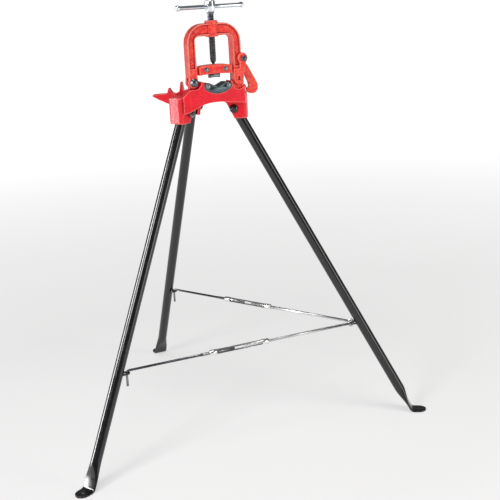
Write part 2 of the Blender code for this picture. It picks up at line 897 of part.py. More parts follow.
def build_body(casting):
    """Joins the vise body, its pivot lug, the latch lug and the bender beak, and returns the cutters."""
    span = body_front + body_back
    body = link("vise_body", outline_mesh("vise_body", body_front_outline(), -span, span), vise)
    plan = outline_mesh("body_plan", body_plan_outline(), -socket_depth, body_shoulder_left + cut_overrun, "plan")
    join(body, link("body_plan", plan, vise), "INTERSECT")
    reach = body_half_width + body_flare + cut_overrun
    low = (-reach, -body_front + body_panel, -socket_depth)
    high = (reach, body_back + cut_overrun, -crown_plate)
    cut(body, link("body_hollow", box_mesh("body_hollow", low, high), vise))
    join(casting, body)
    half = pivot_tongue_thickness / 2
    join(casting, link("pivot_tongue", outline_mesh("pivot_tongue", pivot_tongue_outline(), -half, half), vise))
    half = latch_slot_width / 2 - latch_hook_side_gap
    latch_lug = sector_mesh("latch_lug", latch_lug_inner, latch_lug_outer, latch_lug_root, latch_lug_end, half)
    join(casting, link("latch_lug", latch_lug, vise))
    beak = outline_mesh("bender", bender_outline(), -bender_thickness / 2, bender_thickness / 2)
    turn = Matrix.Rotation(math.radians(bender_azimuth), 4, "Z")
    join(casting, bevel(link("bender", beak, vise_stand, None, turn), bender_edge_round, 1))
    return body_cutters()


def pivot_tongue_outline():
    """A round tongue on a stem that runs down into the body, between the two ears of the yoke's left foot."""
    round_top = arc((-pivot_reach, pivot_height), pivot_tongue_radius, 0.0, 180.0, 12)
    stem = pivot_height - pivot_seat_radius - body_edge_round
    return round_top + [(-pivot_reach - pivot_tongue_radius, stem), (-pivot_reach + pivot_tongue_radius, stem)]


def sector_mesh(name, inner, outer, start, end, half):
    """Part of a ring about the latch bolt, with angles from straight down toward the right."""
    points = []
    steps = 6
    for radius, first, last in ((inner, start, end), (outer, end, start)):
        for i in range(steps + 1):
            angle = first + (last - first) * i / steps
            points.append((latch_reach + radius * math.sin(angle), latch_height - radius * math.cos(angle)))
    return outline_mesh(name, points, -half, half)


def bender_outline():
    span = bender_tip_reach - bender_root_reach
    corners = []
    for across, up, radius in bender_outline_shares:
        height = up * (bender_rise if up > 0.0 else bender_drop)
        corners.append((bender_root_reach + across * span, height, radius * span))
    return rounded(corners, 3)


def body_cutters():
    """The seats of the yoke's feet, the jaw's seat and the pivot bolt's hole."""
    made = []
    front = -body_front - cut_overrun
    far = body_back + cut_overrun
    seat = arc((-pivot_reach, pivot_height), pivot_seat_radius, 180.0, 360.0, 12)
    high = body_shoulder_left + pivot_seat_radius
    seat += [(-pivot_reach + pivot_seat_radius, high), (-pivot_reach - pivot_seat_radius, high)]
    wall = pivot_tongue_thickness / 2 + join_step
    for low, top in ((front, -wall), (wall, far)):
        made.append(link("pivot_seat", outline_mesh("pivot_seat", seat, low, top), vise))
    radius = latch_foot_radius + fit_gap
    seat = arc((latch_foot_reach, latch_foot_height), radius, 180.0, 360.0, 14)
    seat += [(latch_foot_reach + radius, high), (latch_foot_reach - radius, high)]
    made.append(link("latch_seat", outline_mesh("latch_seat", seat, front, far), vise))
    side = latch_slot_width / 2
    low = (body_half_width + body_edge_round, -side, -latch_relief_depth)
    top = (latch_relief_reach, side, latch_relief_top)
    made.append(link("latch_relief", box_mesh("latch_relief", low, top), vise))
    made.append(link("jaw_seat", outline_mesh("jaw_seat", jaw_outline(fit_gap, high), front, far), vise))
    hole = rod_mesh(
        "pivot_hole",
        (-pivot_reach, front, pivot_height),
        (-pivot_reach, far, pivot_height),
        pivot_bolt_diameter / 2 + fit_gap,
        20,
    )
    made.append(link("pivot_hole", hole, vise))
    return made


vise_stand = empty("head", stand, (0.0, 0.0, crown_top))


def build_base():
    casting = build_crown()
    slots = build_sockets(casting)
    cuts = build_body(casting)
    for item in cuts + slots:
        cut(casting, item)
    return casting


def build_lower_jaw():
    jaw = link("lower_jaw", outline_mesh("lower_jaw", jaw_outline(), -jaw_front, jaw_back), vise, jaw_steel)
    bevel(jaw, jaw_tooth_depth, 1, 75.0)
    for side in (-1.0, 1.0):
        reach = jaw_offset + side * jaw_bolt_reach
        hole = rod_mesh(
            "jaw_bolt_hole",
            (reach, -jaw_front - cut_overrun, jaw_bolt_height),
            (reach, -jaw_front + jaw_bolt_length + fit_gap, jaw_bolt_height),
            jaw_bolt_shank_diameter / 2 + fit_gap,
            20,
        )
        cut(jaw, link("jaw_bolt_hole", hole, vise))
    return jaw


def headed_pins(name, middle, reach, height, front, head_diameter, head_height, shank_diameter, length, surface):
    """A round-headed pin at each side, with its head on a front face."""
    head = head_diameter / 2
    shank = shank_diameter / 2
    edge = head_height / 2
    profile = [
        (0.0, head_height),
        (head - edge, head_height),
        (head, edge),
        (head, 0.0),
        (shank, 0.0),
        (shank, -length),
        (0.0, -length),
    ]
    pin = settle(turned(name + "_left", profile, vise, surface, 16))
    pin.data.transform(Matrix.Rotation(math.radians(90.0), 4, "X"))
    pin.location = (middle - reach, front, height)
    twin = link(name + "_right", pin.data, vise, surface)
    twin.location = (middle + reach, front, height)
    return pin


def build_jaw_bolts():
    return headed_pins(
        "lower_jaw_bolt",
        jaw_offset,
        jaw_bolt_reach,
        jaw_bolt_height,
        -jaw_front - fit_gap,
        jaw_bolt_head_diameter,
        jaw_bolt_head_height,
        jaw_bolt_shank_diameter,
        jaw_bolt_length,
        jaw_steel,
    )


def yoke_outline():
    """The yoke seen from the front: an arch with a round foot at the left and a square one at the right."""
    inner_end = 360.0 - math.degrees(math.acos((pivot_reach - yoke_inner_half_width) / pivot_foot_radius))
    foot = arc((-pivot_reach, pivot_height), pivot_foot_radius, 180.0, inner_end, 14)
    left_inner = -yoke_inner_half_width
    corners = [
        (left_inner, yoke_window_top, yoke_inner_round),
        (yoke_inner_half_width, yoke_window_top, yoke_inner_round),
        (yoke_inner_half_width, latch_foot_height, 0.0),
        (yoke_half_width, latch_foot_height, 0.0),
        (yoke_half_width, yoke_top, yoke_outer_round),
        (-yoke_half_width, yoke_top, yoke_outer_round),
        (-yoke_half_width, pivot_height + pivot_foot_radius, 0.0),
    ]
    return foot + rounded(corners, 6)


def web_outline():
    """The recess in the yoke's faces, between the outer and the inner flange."""
    outer = yoke_half_width - yoke_outer_flange
    inner = yoke_inner_half_width + yoke_inner_flange
    top = yoke_top - yoke_outer_flange
    low = yoke_window_top + yoke_inner_flange
    corner = yoke_inner_flange / 2
    corners = [
        (-outer, yoke_recess_bottom, corner),
        (-inner, yoke_recess_bottom, corner),
        (-inner, low, yoke_inner_round + yoke_inner_flange),
        (inner, low, yoke_inner_round + yoke_inner_flange),
        (inner, yoke_recess_bottom, corner),
        (outer, yoke_recess_bottom, corner),
        (outer, top, yoke_outer_round - yoke_outer_flange),
        (-outer, top, yoke_outer_round - yoke_outer_flange),
    ]
    return rounded(corners, 6)


def ear_outline():
    """The latch ear's core: a round eye that runs into the yoke's right leg."""
    inner = yoke_half_width - yoke_outer_flange
    centre = (latch_ear_reach, latch_ear_height)
    right = arc(centre, latch_ear_radius, -70.0, 80.0, 10)
    return [(inner, latch_ear_height - latch_ear_radius)] + right + [(inner, latch_ear_height + latch_ear_radius)]


def front_plate_outline():
    """The proud plate on the right leg: the ear's face, a neck and the tab with its round bottom."""
    radius = (latch_tab_right - latch_tab_left) / 2
    middle = (latch_tab_right + latch_tab_left) / 2
    low = arc((middle, latch_tab_bottom + radius), radius, 180.0, 360.0, 12)
    centre = (latch_ear_reach, latch_ear_height)
    face = arc(centre, latch_ear_radius, -50.0, 215.0, 14)
    neck = [(latch_ear_neck, latch_ear_neck_height), (latch_tab_notch, latch_tab_top), (latch_tab_left, latch_tab_top)]
    return low + face + neck


def latch_foot_outline():
    """The round lower end of the right foot, which seats in the body."""
    low = arc((latch_foot_reach, latch_foot_height), latch_foot_radius, 180.0, 360.0, 14)
    right = latch_foot_reach + latch_foot_radius
    left = latch_foot_reach - latch_foot_radius
    return low + [(right, latch_foot_top), (left, latch_foot_top)]


def build_yoke():
    half = yoke_depth / 2
    yoke = link("yoke", outline_mesh("yoke", yoke_outline(), -half, half), vise, red_paint)
    bevel(yoke, yoke_edge_round, 1)
    web_half = yoke_web / 2
    for low, high in ((-half - cut_overrun, -web_half), (web_half, half + cut_overrun)):
        recess = link("web_recess", outline_mesh("web_recess", web_outline(), low, high), vise)
        cut(yoke, recess)
    inset = half - join_step
    ear = link("latch_ear", outline_mesh("latch_ear", ear_outline(), -inset, inset), vise)
    join(yoke, bevel(ear, yoke_edge_round, 1))
    foot_front = -half + latch_tab_thickness / 2
    foot_back = inset - join_step
    foot = link("latch_foot", outline_mesh("latch_foot", latch_foot_outline(), foot_front, foot_back), vise)
    join(yoke, foot)
    plate_front = -half - latch_ear_proud
    plate_back = plate_front + latch_tab_thickness + latch_ear_proud
    tab = link("front_plate", outline_mesh("front_plate", front_plate_outline(), plate_front, plate_back), vise)
    join(yoke, bevel(tab, yoke_edge_round, 1))
    boss_low = yoke_window_top - yoke_boss_shelf
    boss_radius = yoke_boss_diameter / 2
    boss = rod_mesh("boss", (0.0, 0.0, boss_low), (0.0, 0.0, yoke_boss_top), boss_radius, 24)
    join(yoke, bevel(link("boss", boss, vise), yoke_edge_round, 1))
    slot_low = (
        latch_reach - latch_eye_radius - fit_gap,
        -latch_slot_width / 2,
        latch_height - latch_hook_drop / 2,
    )
    slot_high = (
        latch_reach + latch_hook_reach,
        latch_slot_width / 2,
        latch_height + latch_eye_radius + fit_gap,
    )
    cut(yoke, link("latch_slot", box_mesh("latch_slot", slot_low, slot_high), vise))
    fork = pivot_tongue_thickness / 2 + 2 * fit_gap
    low = (-yoke_half_width - pivot_foot_radius, -fork, 0.0)
    high = (-yoke_inner_half_width + pivot_foot_radius, fork, pivot_height + pivot_tongue_radius + fit_gap)
    cut(yoke, link("foot_fork", box_mesh("foot_fork", low, high), vise))
    for name, place, radius in (
        ("yoke_pivot_hole", (-pivot_reach, pivot_height), pivot_bolt_diameter / 2 + fit_gap),
        ("latch_hole", (latch_reach, latch_height), latch_bolt_diameter / 2 + fit_gap),
    ):
        start = (place[0], -yoke_depth, place[1])
        end = (place[0], yoke_depth, place[1])
        cut(yoke, link(name, rod_mesh(name, start, end, radius, 20), vise))
    bore = rod_mesh(
        "screw_bore",
        (0.0, 0.0, yoke_window_top - cut_overrun),
        (0.0, 0.0, yoke_boss_top + cut_overrun),
        screw_diameter / 2 + fit_gap,
        28,
    )
    cut(yoke, link("screw_bore", bore, vise))
    hole_left = (latch_tab_left + latch_tab_right - latch_tab_hole_width) / 2
    low = (hole_left, plate_front - cut_overrun, latch_tab_hole_bottom)
    high = (
        hole_left + latch_tab_hole_width,
        plate_front + latch_tab_hole_depth,
        latch_tab_hole_bottom + latch_tab_hole_height,
    )
    cut(yoke, link("tab_hole", box_mesh("tab_hole", low, high), vise))
    return set_origin(yoke, (-pivot_reach, 0.0, pivot_height))


def front_bolt(name, place, front, back, shank, head, head_height, nut_height, end, washer=None):
    """A bolt along +Y with a domed head in front of a face and a threaded end behind another."""
    steps = 4
    profile = []
    for i in range(steps + 1):
        angle = math.radians(90.0 * i / steps)
        profile.append((head * math.sin(angle), head_height * (0.45 + 0.55 * math.cos(angle))))
    if washer:
        radius, thick = washer
        profile = [(u, v + thick) for u, v in profile]
        profile += [(head, thick), (radius, thick), (radius, 0.0)]
    else:
        profile += [(head, 0.0)]
    length = back - front + nut_height + end
    profile += [(shank, 0.0), (shank, -length), (0.0, -length)]
    bolt = settle(turned(name, profile, vise, plain_steel, 16))
    bolt.data.transform(Matrix.Rotation(math.radians(90.0), 4, "X"))
    bolt.location = (place[0], front, place[1])
    return bolt


def back_nut(name, place, back, across, height, shank):
    nut = hexagon(across, 0.0, height, name)
    nut.transform(Matrix.Rotation(math.radians(-90.0), 4, "X"))
    item = link(name, nut, vise, plain_steel)
    bore = rod_mesh(name + "_bore", (0.0, -cut_overrun, 0.0), (0.0, height + cut_overrun, 0.0), shank + fit_gap, 20)
    bore_item = link(name + "_bore", bore, vise)
    item.location = (place[0], back, place[1])
    bore_item.location = item.location
    cut(item, bore_item)
    return item


def build_pivot_bolt():
    place = (-pivot_reach, pivot_height)
    front = -yoke_depth / 2 - fit_gap
    back = yoke_depth / 2 + fit_gap
    shank = pivot_bolt_diameter / 2
    washer = (pivot_washer_diameter / 2, pivot_washer_height)
    front_bolt(
        "yoke_pivot_bolt",
        place,
        front,
        back,
        shank,
        pivot_bolt_head_diameter / 2,
        pivot_bolt_head_height,
        pivot_nut_height,
        pivot_bolt_end,
        washer,
    )
    back_nut("yoke_pivot_nut", place, back, pivot_nut_across, pivot_nut_height, shank)


def build_latch():
    half = latch_slot_width / 2 - latch_hook_side_gap
    eye = arc((latch_reach, latch_height), latch_eye_radius, 200.0, -10.0, 14)
    outline = [(x, z, 0.0) for x, z in eye]
    for across, down, soft in hook_outline_shares:
        x = latch_reach + across * latch_hook_reach
        z = latch_height + down * latch_hook_drop
        outline.append((x, z, soft * latch_hook_drop))
    hook = link("latch_hook", outline_mesh("latch_hook", rounded(outline, 3), -half, half), vise, red_paint)
    bevel(hook, yoke_edge_round, 1)
    mouth = sector_mesh(
        "latch_mouth",
        latch_lug_inner - latch_mouth_gap,
        latch_lug_outer + latch_mouth_gap,
        latch_mouth_start,
        latch_mouth_end,
        half + cut_overrun,
    )
    cut(hook, link("latch_mouth", mouth, vise))
    radius = latch_bolt_diameter / 2 + fit_gap
    start = (latch_reach, -yoke_depth, latch_height)
    end = (latch_reach, yoke_depth, latch_height)
    cut(hook, link("hook_hole", rod_mesh("hook_hole", start, end, radius, 24), vise))
    set_origin(hook, (latch_reach, 0.0, latch_height))
    place = (latch_reach, latch_height)
    front = -yoke_depth / 2 - latch_ear_proud - fit_gap
    back = yoke_depth / 2 + fit_gap
    shank = latch_bolt_diameter / 2
    front_bolt(
        "latch_bolt",
        place,
        front,
        back,
        shank,
        latch_bolt_head_diameter / 2,
        latch_bolt_head_height,
        latch_nut_height,
        latch_bolt_end,
    )
    back_nut("latch_nut", place, back, latch_nut_across, latch_nut_height, shank)


def crosshead_outline():
    steps = 12
    half = crosshead_half_width
    bottom = []
    top = []
    for i in range(steps + 1):
        across = -half + 2 * half * i / steps
        share = math.sqrt(max(0.0, 1.0 - (across / half) ** 2))
        bottom.append((across, crosshead_end_bottom + (crosshead_mid_bottom - crosshead_end_bottom) * share))
        top.append((across, crosshead_end_top + (crosshead_mid_top - crosshead_end_top) * share))
    return bottom + top[::-1]


def build_crosshead():
    slab = outline_mesh("crosshead", crosshead_outline(), -crosshead_front, crosshead_back)
    head = link("crosshead", slab, vise, red_paint)
    bevel(head, crosshead_edge_round, 1, 50.0)
    reach = yoke_inner_half_width - fit_gap
    inset = crosshead_half_width / 2
    for side in (-1.0, 1.0):
        x = sorted((side * inset, side * reach))
        low = (x[0], -crosshead_tongue_width / 2, crosshead_end_bottom + crosshead_edge_round)
        high = (x[1], crosshead_tongue_width / 2, crosshead_end_top - crosshead_edge_round)
        join(head, link("tongue", box_mesh("tongue", low, high), vise))
    radius = screw_neck_diameter / 2 + fit_gap
    floor = crosshead_mid_top - crosshead_socket_depth
    hole = rod_mesh("neck_hole", (0.0, 0.0, floor), (0.0, 0.0, crosshead_mid_top + cut_overrun), radius, 24)
    cut(head, link("neck_hole", hole, vise))
    for side in (-1.0, 1.0):
        hole = rod_mesh(
            "pin_hole",
            (side * crosshead_pin_reach, -crosshead_front - cut_overrun, crosshead_pin_height),
            (side * crosshead_pin_reach, -crosshead_front + crosshead_pin_length + fit_gap, crosshead_pin_height),
            crosshead_pin_shank_diameter / 2 + fit_gap,
            20,
        )
        cut(head, link("pin_hole", hole, vise))
    set_origin(head, (0.0, 0.0, crosshead_end_bottom))
    headed_pins(
        "crosshead_pin",
        0.0,
        crosshead_pin_reach,
        crosshead_pin_height,
        -crosshead_front - fit_gap,
        crosshead_pin_head_diameter,
        crosshead_pin_head_height,
        crosshead_pin_shank_diameter,
        crosshead_pin_length,
        jaw_steel,
    )
    top = upper_jaw_outline()
    jaw = link("upper_jaw", outline_mesh("upper_jaw", top, -upper_jaw_front, upper_jaw_back), vise, jaw_steel)
    bevel(jaw, jaw_tooth_depth / 2, 1)


def upper_jaw_outline():
    """A block under the crosshead with a hollow, toothed underside."""
    half = upper_jaw_half_width
    ceiling = crosshead_mid_bottom - fit_gap
    edge = crosshead_end_bottom + (crosshead_mid_bottom - crosshead_end_bottom) * math.sqrt(
        1.0 - (half / crosshead_half_width) ** 2
    )
    top = min(ceiling, edge - fit_gap)
    points = [(half, top), (-half, top)]
    teeth = 7
    for i in range(2 * teeth + 1):
        across = -half + 2 * half * i / (2 * teeth)
        hollow = upper_jaw_hollow * (1.0 - (across / half) ** 2)
        tooth = jaw_tooth_depth if i % 2 else 0.0
        points.append((across, upper_jaw_bottom + hollow + tooth))
    return points


def build_screw():
    """The screw with its neck and collar, the hub over its top and the sliding bar."""
    radius = screw_diameter / 2
    neck = screw_neck_diameter / 2
    foot = crosshead_mid_top - crosshead_socket_depth + fit_gap
    shoulder = crosshead_mid_top + screw_neck_length / 2
    collar = screw_collar_diameter / 2
    collar_low = hub_bottom - fit_gap - screw_collar_height
    profile = [
        (0.0, hub_bottom - fit_gap),
        (collar, hub_bottom - fit_gap),
        (collar, collar_low),
        (radius, collar_low - (collar - radius)),
        (radius, shoulder + screw_neck_length),
        (neck, shoulder),
        (neck, foot),
        (0.0, foot),
    ]
    turned("spindle", profile, vise, jaw_steel, 24)
    hub_radius = hub_diameter / 2
    top = hub_bottom + hub_height
    edge = hub_edge_round
    profile = [
        (0.0, top),
        (hub_radius - edge, top),
        (hub_radius - edge * 0.3, top - edge * 0.3),
        (hub_radius, top - edge),
        (hub_radius, hub_bottom + edge),
        (hub_radius - edge * 0.3, hub_bottom + edge * 0.3),
        (hub_radius - edge, hub_bottom),
        (0.0, hub_bottom),
    ]
    hub = turned("spindle_hub", profile, vise, chrome, 24)
    bar_height = hub_bottom + hub_height * bar_height_share
    along_bar = Vector((math.cos(bar_turn), math.sin(bar_turn), 0.0))
    middle = Vector((0.0, 0.0, bar_height))
    hole_reach = along_bar * hub_diameter
    radius = bar_diameter / 2
    hole = rod_mesh("bar_hole", middle - hole_reach, middle + hole_reach, radius + fit_gap, 28)
    cut(hub, link("bar_hole", hole, vise))
    half = bar_length / 2
    knob = bar_knob_diameter / 2
    round_knob = bar_knob_length / 2
    profile = []
    steps = 6
    seat = half - bar_knob_length
    for i in range(steps + 1):
        angle = math.radians(180.0 * i / steps)
        if knob * math.sin(angle) < radius and i > steps / 2:
            break
        profile.append((knob * math.sin(angle), half - round_knob + round_knob * math.cos(angle)))
    profile.append((radius, seat))
    mirrored = [(u, -v) for u, v in reversed(profile)]
    bar = settle(turned("tommy_bar", profile + mirrored, vise, chrome, 16))
    bar.data.transform(along(along_bar))
    bar.location = middle


def horizontal_loop(centre, direction, half_width, reach, start, steps=9):
    """A U of wire: from a start, out along a level direction, round, and back."""
    outward = Vector((*direction, 0.0))
    sideways = Vector((-direction[1], direction[0], 0.0))
    middle = Vector(centre)
    bend = reach - half_width
    points = [middle + outward * start - sideways * half_width]
    for i in range(steps + 1):
        angle = -math.pi / 2 + math.pi * i / steps
        points.append(middle + outward * (bend + half_width * math.cos(angle)) + sideways * half_width * math.sin(angle))
    points.append(middle + outward * start + sideways * half_width)
    return points


def leg_point(name, height):
    """Where a leg's axis reaches a height."""
    azimuth = math.radians(leg_azimuths[name])
    reach = hinge_reach + (hinge_height - height) * math.tan(leg_splay)
    return Vector((reach * math.cos(azimuth), reach * math.sin(azimuth), height))


def heading(azimuth):
    return Vector((math.cos(math.radians(azimuth)), math.sin(math.radians(azimuth))))


def leg_eye(name, leg, azimuth, half_width, reach, height):
    """A wire eye welded to a leg."""
    place = leg_point(leg, height)
    points = horizontal_loop(place, heading(azimuth), half_width, reach, 0.0)
    eye = link(name, tube_mesh(name, points, eye_wire / 2, 2), stand, black_paint)
    tilt = math.radians(leg_azimuths[leg])
    down = Vector((math.sin(leg_splay) * math.cos(tilt), math.sin(leg_splay) * math.sin(tilt), -math.cos(leg_splay)))
    span = leg_diameter * 2
    core = rod_mesh("eye_core", place - down * span, place + down * span, leg_radius + fit_gap, 28)
    cut(eye, link("eye_core", core, stand))
    return eye


def build_eyes():
    reach = eye_reach - eye_wire / 2
    ring_reach = ring_centre_reach + ring_half_width
    leg_eye("left_leg_eye", "left", 0.0, eye_half_width, reach, eye_height)
    leg_eye("rear_leg_eye", "rear", -60.0, eye_half_width, reach, eye_height)
    leg_eye("right_leg_ring", "right", 150.0, ring_half_width, ring_reach, stay_height)


def stay_ends(side):
    """The point on the ring's wire where a stay hangs, and the middle of its tail in the far eye."""
    sign = 1.0 if side == "front" else -1.0
    ring = leg_point("right", stay_height).to_2d() + heading(150.0) * ring_centre_reach
    ring += heading(150.0 + sign * ring_turn) * (ring_half_width + stay_loop_offset)
    if side == "front":
        tail = leg_point("left", eye_height).to_2d() + heading(0.0) * stay_tail_reach
    else:
        tail = leg_point("rear", eye_height).to_2d() + heading(-60.0) * stay_tail_reach
    return ring, tail


def build_stay(side):
    """An eye rod, an open turnbuckle and a hook rod in one line, X running from the ring to the tail."""
    ring, tail = stay_ends(side)
    run = tail - ring
    length = run.length
    frame = empty(side + "_stay", stand, (ring[0], ring[1], stay_height), math.atan2(run[1], run[0]))
    start = body_starts[side]
    end = start + tensioner_length
    radius = stay_rod_diameter / 2
    loop = stay_loop_radius
    wire = stay_loop_wire / 2
    steps = 14
    points = []
    for i in range(steps):
        angle = 2 * math.pi * i / steps
        points.append((loop * math.cos(angle), 0.0, loop * math.sin(angle)))
    ring_mesh = tube_mesh(side + "_eye_rod", points, wire, 2, True)
    eye_rod = link(side + "_eye_rod", ring_mesh, frame, zinc)
    reach = start + stay_thread_length
    shank = rod_mesh("shank", (loop, 0.0, 0.0), (reach, 0.0, 0.0), radius, 20)
    join(eye_rod, link("shank", shank, frame))
    build_turnbuckle(side, frame, start, end)
    bend = stay_tail_bend
    points = [(end - stay_thread_length, 0.0, 0.0), (length - bend, 0.0, 0.0)]
    bend_steps = 4
    for i in range(1, bend_steps + 1):
        angle = math.radians(90.0 * i / bend_steps)
        points.append((length - bend + bend * math.sin(angle), 0.0, -bend + bend * math.cos(angle)))
    points.append((length, 0.0, -stay_tail_drop))
    hook = tube_mesh(side + "_hook_rod", points, stay_tail_diameter / 2, 3)
    hook_rod = link(side + "_hook_rod", hook, frame, black_paint)
    thread = rod_mesh(
        "hook_thread", (end - stay_thread_length, 0.0, 0.0), (end + tensioner_boss_length, 0.0, 0.0), radius, 20
    )
    join(hook_rod, link("hook_thread", thread, frame))


def build_turnbuckle(side, frame, start, end):
    """Two flat bars between round bosses, cut from one turned blank."""
    boss = tensioner_boss_diameter / 2
    edge = boss / 5
    slim = tensioner_height / 2 - edge / 2
    profile = [
        (0.0, end),
        (boss - edge, end),
        (boss, end - edge),
        (boss, end - tensioner_boss_length),
        (slim, end - tensioner_boss_length - edge),
        (slim, start + tensioner_boss_length + edge),
        (boss, start + tensioner_boss_length),
        (boss, start + edge),
        (boss - edge, start),
        (0.0, start),
    ]
    body = settle(turned(side + "_turnbuckle", profile, frame, zinc, 16))
    body.data.transform(Matrix.Rotation(math.radians(90.0), 4, "Y"))
    inner = start + tensioner_boss_length
    outer = end - tensioner_boss_length
    slot = tensioner_slot / 2
    ends = rounded(
        [(inner, -slot, slot * 0.9), (outer, -slot, slot * 0.9), (outer, slot, slot * 0.9), (inner, slot, slot * 0.9)], 2
    )
    window = outline_mesh("window", ends, -boss - cut_overrun, boss + cut_overrun)
    cut(body, link("window", window, frame))
    half = tensioner_width / 2
    for side_sign in (-1.0, 1.0):
        y = sorted((side_sign * half, side_sign * (boss + cut_overrun)))
        low = (inner + edge, y[0], -boss - cut_overrun)
        high = (outer - edge, y[1], boss + cut_overrun)
        cut(body, link("flat", box_mesh("flat", low, high), frame))
    bore = rod_mesh(
        "thread_bore",
        (start - cut_overrun, 0.0, 0.0),
        (end + cut_overrun, 0.0, 0.0),
        stay_rod_diameter / 2 + fit_gap,
        20,
    )
    cut(body, link("thread_bore", bore, frame))


build_legs()
build_hinge_bolts()
build_base()
build_lower_jaw()
build_jaw_bolts()
build_yoke()
build_pivot_bolt()
build_latch()
build_crosshead()
build_screw()
build_eyes()
for stay_side in ("front", "rear"):
    build_stay(stay_side)
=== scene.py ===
"""Looks of a yoke pipe vise on a folding tripod stand, in metres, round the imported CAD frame.

Castings become soft-edged, sand-textured copies of their nodes. Legs are modelled finer than their
solids, threads and weld beads are added, and every surface has a procedural finish.
"""
import json
import math

import bmesh
import bpy
from mathutils import Matrix, Vector, noise

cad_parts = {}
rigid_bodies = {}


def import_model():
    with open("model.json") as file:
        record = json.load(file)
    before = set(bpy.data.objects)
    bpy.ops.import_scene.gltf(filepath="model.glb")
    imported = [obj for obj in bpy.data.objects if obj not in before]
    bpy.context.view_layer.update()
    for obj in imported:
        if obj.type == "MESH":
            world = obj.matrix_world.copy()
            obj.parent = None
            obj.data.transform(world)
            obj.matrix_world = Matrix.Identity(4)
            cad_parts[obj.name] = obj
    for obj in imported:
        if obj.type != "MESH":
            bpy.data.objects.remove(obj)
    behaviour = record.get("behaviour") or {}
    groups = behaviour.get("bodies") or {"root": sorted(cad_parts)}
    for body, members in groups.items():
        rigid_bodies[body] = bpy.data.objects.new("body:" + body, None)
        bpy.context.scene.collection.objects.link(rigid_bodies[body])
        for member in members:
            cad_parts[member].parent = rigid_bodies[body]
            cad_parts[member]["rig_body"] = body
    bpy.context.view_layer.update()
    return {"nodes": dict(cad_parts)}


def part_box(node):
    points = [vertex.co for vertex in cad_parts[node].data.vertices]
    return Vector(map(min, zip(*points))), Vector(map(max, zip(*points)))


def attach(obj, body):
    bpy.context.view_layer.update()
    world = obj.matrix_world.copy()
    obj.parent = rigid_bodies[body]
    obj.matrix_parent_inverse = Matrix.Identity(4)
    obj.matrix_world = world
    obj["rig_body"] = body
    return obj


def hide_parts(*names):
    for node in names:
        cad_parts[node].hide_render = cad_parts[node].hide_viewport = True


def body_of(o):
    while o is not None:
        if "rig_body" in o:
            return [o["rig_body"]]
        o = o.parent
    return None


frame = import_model()
nodes = frame["nodes"]

# Sizes that the CAD source gives to its legs, repeated here in metres
leg_radius = 0.0136
leg_wall = 0.0028
leg_splay = math.radians(27.8)
leg_azimuths = {"right": -30.0, "left": -150.0, "rear": 90.0}
hinge_reach = 0.0828
hinge_height = 0.857
leg_above_hinge = 0.0265
hinge_bolt_radius = 0.00625
foot_flat_radius = 0.0028
foot_bend_radius = 0.012
foot_flat_length = 0.010
foot_flare_length = 0.058
foot_hole_reach = 0.0195
foot_hole_radius = 0.0055

# The solid's leg has sixteen flats: the round skin touches their middles, and the toe stays inside too
facet_share = math.cos(math.pi / 16)
toe_share = 0.99

# Steps along and round a leg
leg_sides = 48
leg_shank_steps = 12
leg_flare_steps = 14
leg_bend_steps = 8
leg_toe_steps = 10
toe_sweep = math.radians(80.0)
hole_sides = 32

# Screw, stays and wire eyes, as in the CAD source
screw_radius = 0.00835
screw_neck_radius = 0.00375
screw_collar_radius = 0.0095
screw_collar_height = 0.0045
rod_radius = 0.0038
turnbuckle_length = 0.168
turnbuckle_boss = 0.0185
wire_radius = 0.00275

# Leg eyes: node, leg, direction in degrees that the loop points in, and half the width of its
# centre line
wire_eyes = [
    ("left_leg_eye", "left", 0.0, 0.00505),
    ("rear_leg_eye", "rear", -60.0, 0.00505),
    ("right_leg_ring", "right", 150.0, 0.00675),
]

# The screw's drawn thread: its root, its pitch, and how far up the neck goes from the lower end
screw_core_radius = 0.0070
screw_pitch = 0.004
screw_neck_end = 0.0170

# The stays' drawn threads: pitch, rise over the rod, depth, length and the share in the window
rod_pitch = 0.00125
thread_rise = 0.0001
thread_depth = 0.0007
thread_length = 0.060
thread_share_in_window = 0.25

# Steps and shape of every thread
thread_flat_share = 0.25
thread_rows_per_turn = 8
fewest_thread_turns = 4
thread_smooth_angle = math.radians(60.0)
spindle_steps = 48
spindle_thread_sides = 40
rod_thread_sides = 24

# Weld beads: steps round the wire and round the bead, and the share and count of the ripples
weld_thickness = 0.0014
bead_steps = 40
bead_sides = 10
fine_ripple_share = 0.22
fine_ripple_count = 9.0
broad_ripple_share = 0.1
broad_ripple_count = 4.0

# Mesh treatment
weld_distance = 0.00002
smooth_angle = math.radians(38.0)
fit_gap = 0.0003
overrun = 0.004

# Sand texture of the castings: noise scales per metre and their shares
soften_factor = 0.5
grain_scale = 420.0
grain_roughness = 0.9
grain_lacunarity = 2.0
grain_octaves = 2
grain_share = 0.6
wave_scale = 60.0
inward_share = 0.9

# Light of the sky on the object, and as seen behind it
white = (1.0, 1.0, 1.0)
sky_light = 0.18
sky_seen = 1.0

# Floor: its size, and its own glow near the object and from the far distance on
floor_radius = 80.0
floor_sides = 96
floor_glow_near = 0.52
floor_glow_far = 0.95
floor_near_distance = 0.8
floor_far_distance = 5.0

# Soft boxes: name, place, the point faced, width, height, watts, colour, and if they light matt surfaces
soft_boxes = [
    ("left_streak", (-3.4, 0.8, 1.3), (0.0, 0.0, 0.7), 0.8, 3.2, 210.0, white, False),
    ("left_box", (-2.6, -1.6, 2.2), (0.0, 0.0, 0.8), 0.9, 0.9, 34.0, white, True),
    ("right_box", (2.1, -2.7, 1.3), (0.0, 0.0, 0.8), 1.0, 2.2, 26.0, (1.0, 0.95, 0.88), True),
    ("top_box", (-0.2, -0.8, 3.0), (0.0, 0.0, 0.9), 1.0, 1.0, 16.0, white, True),
]

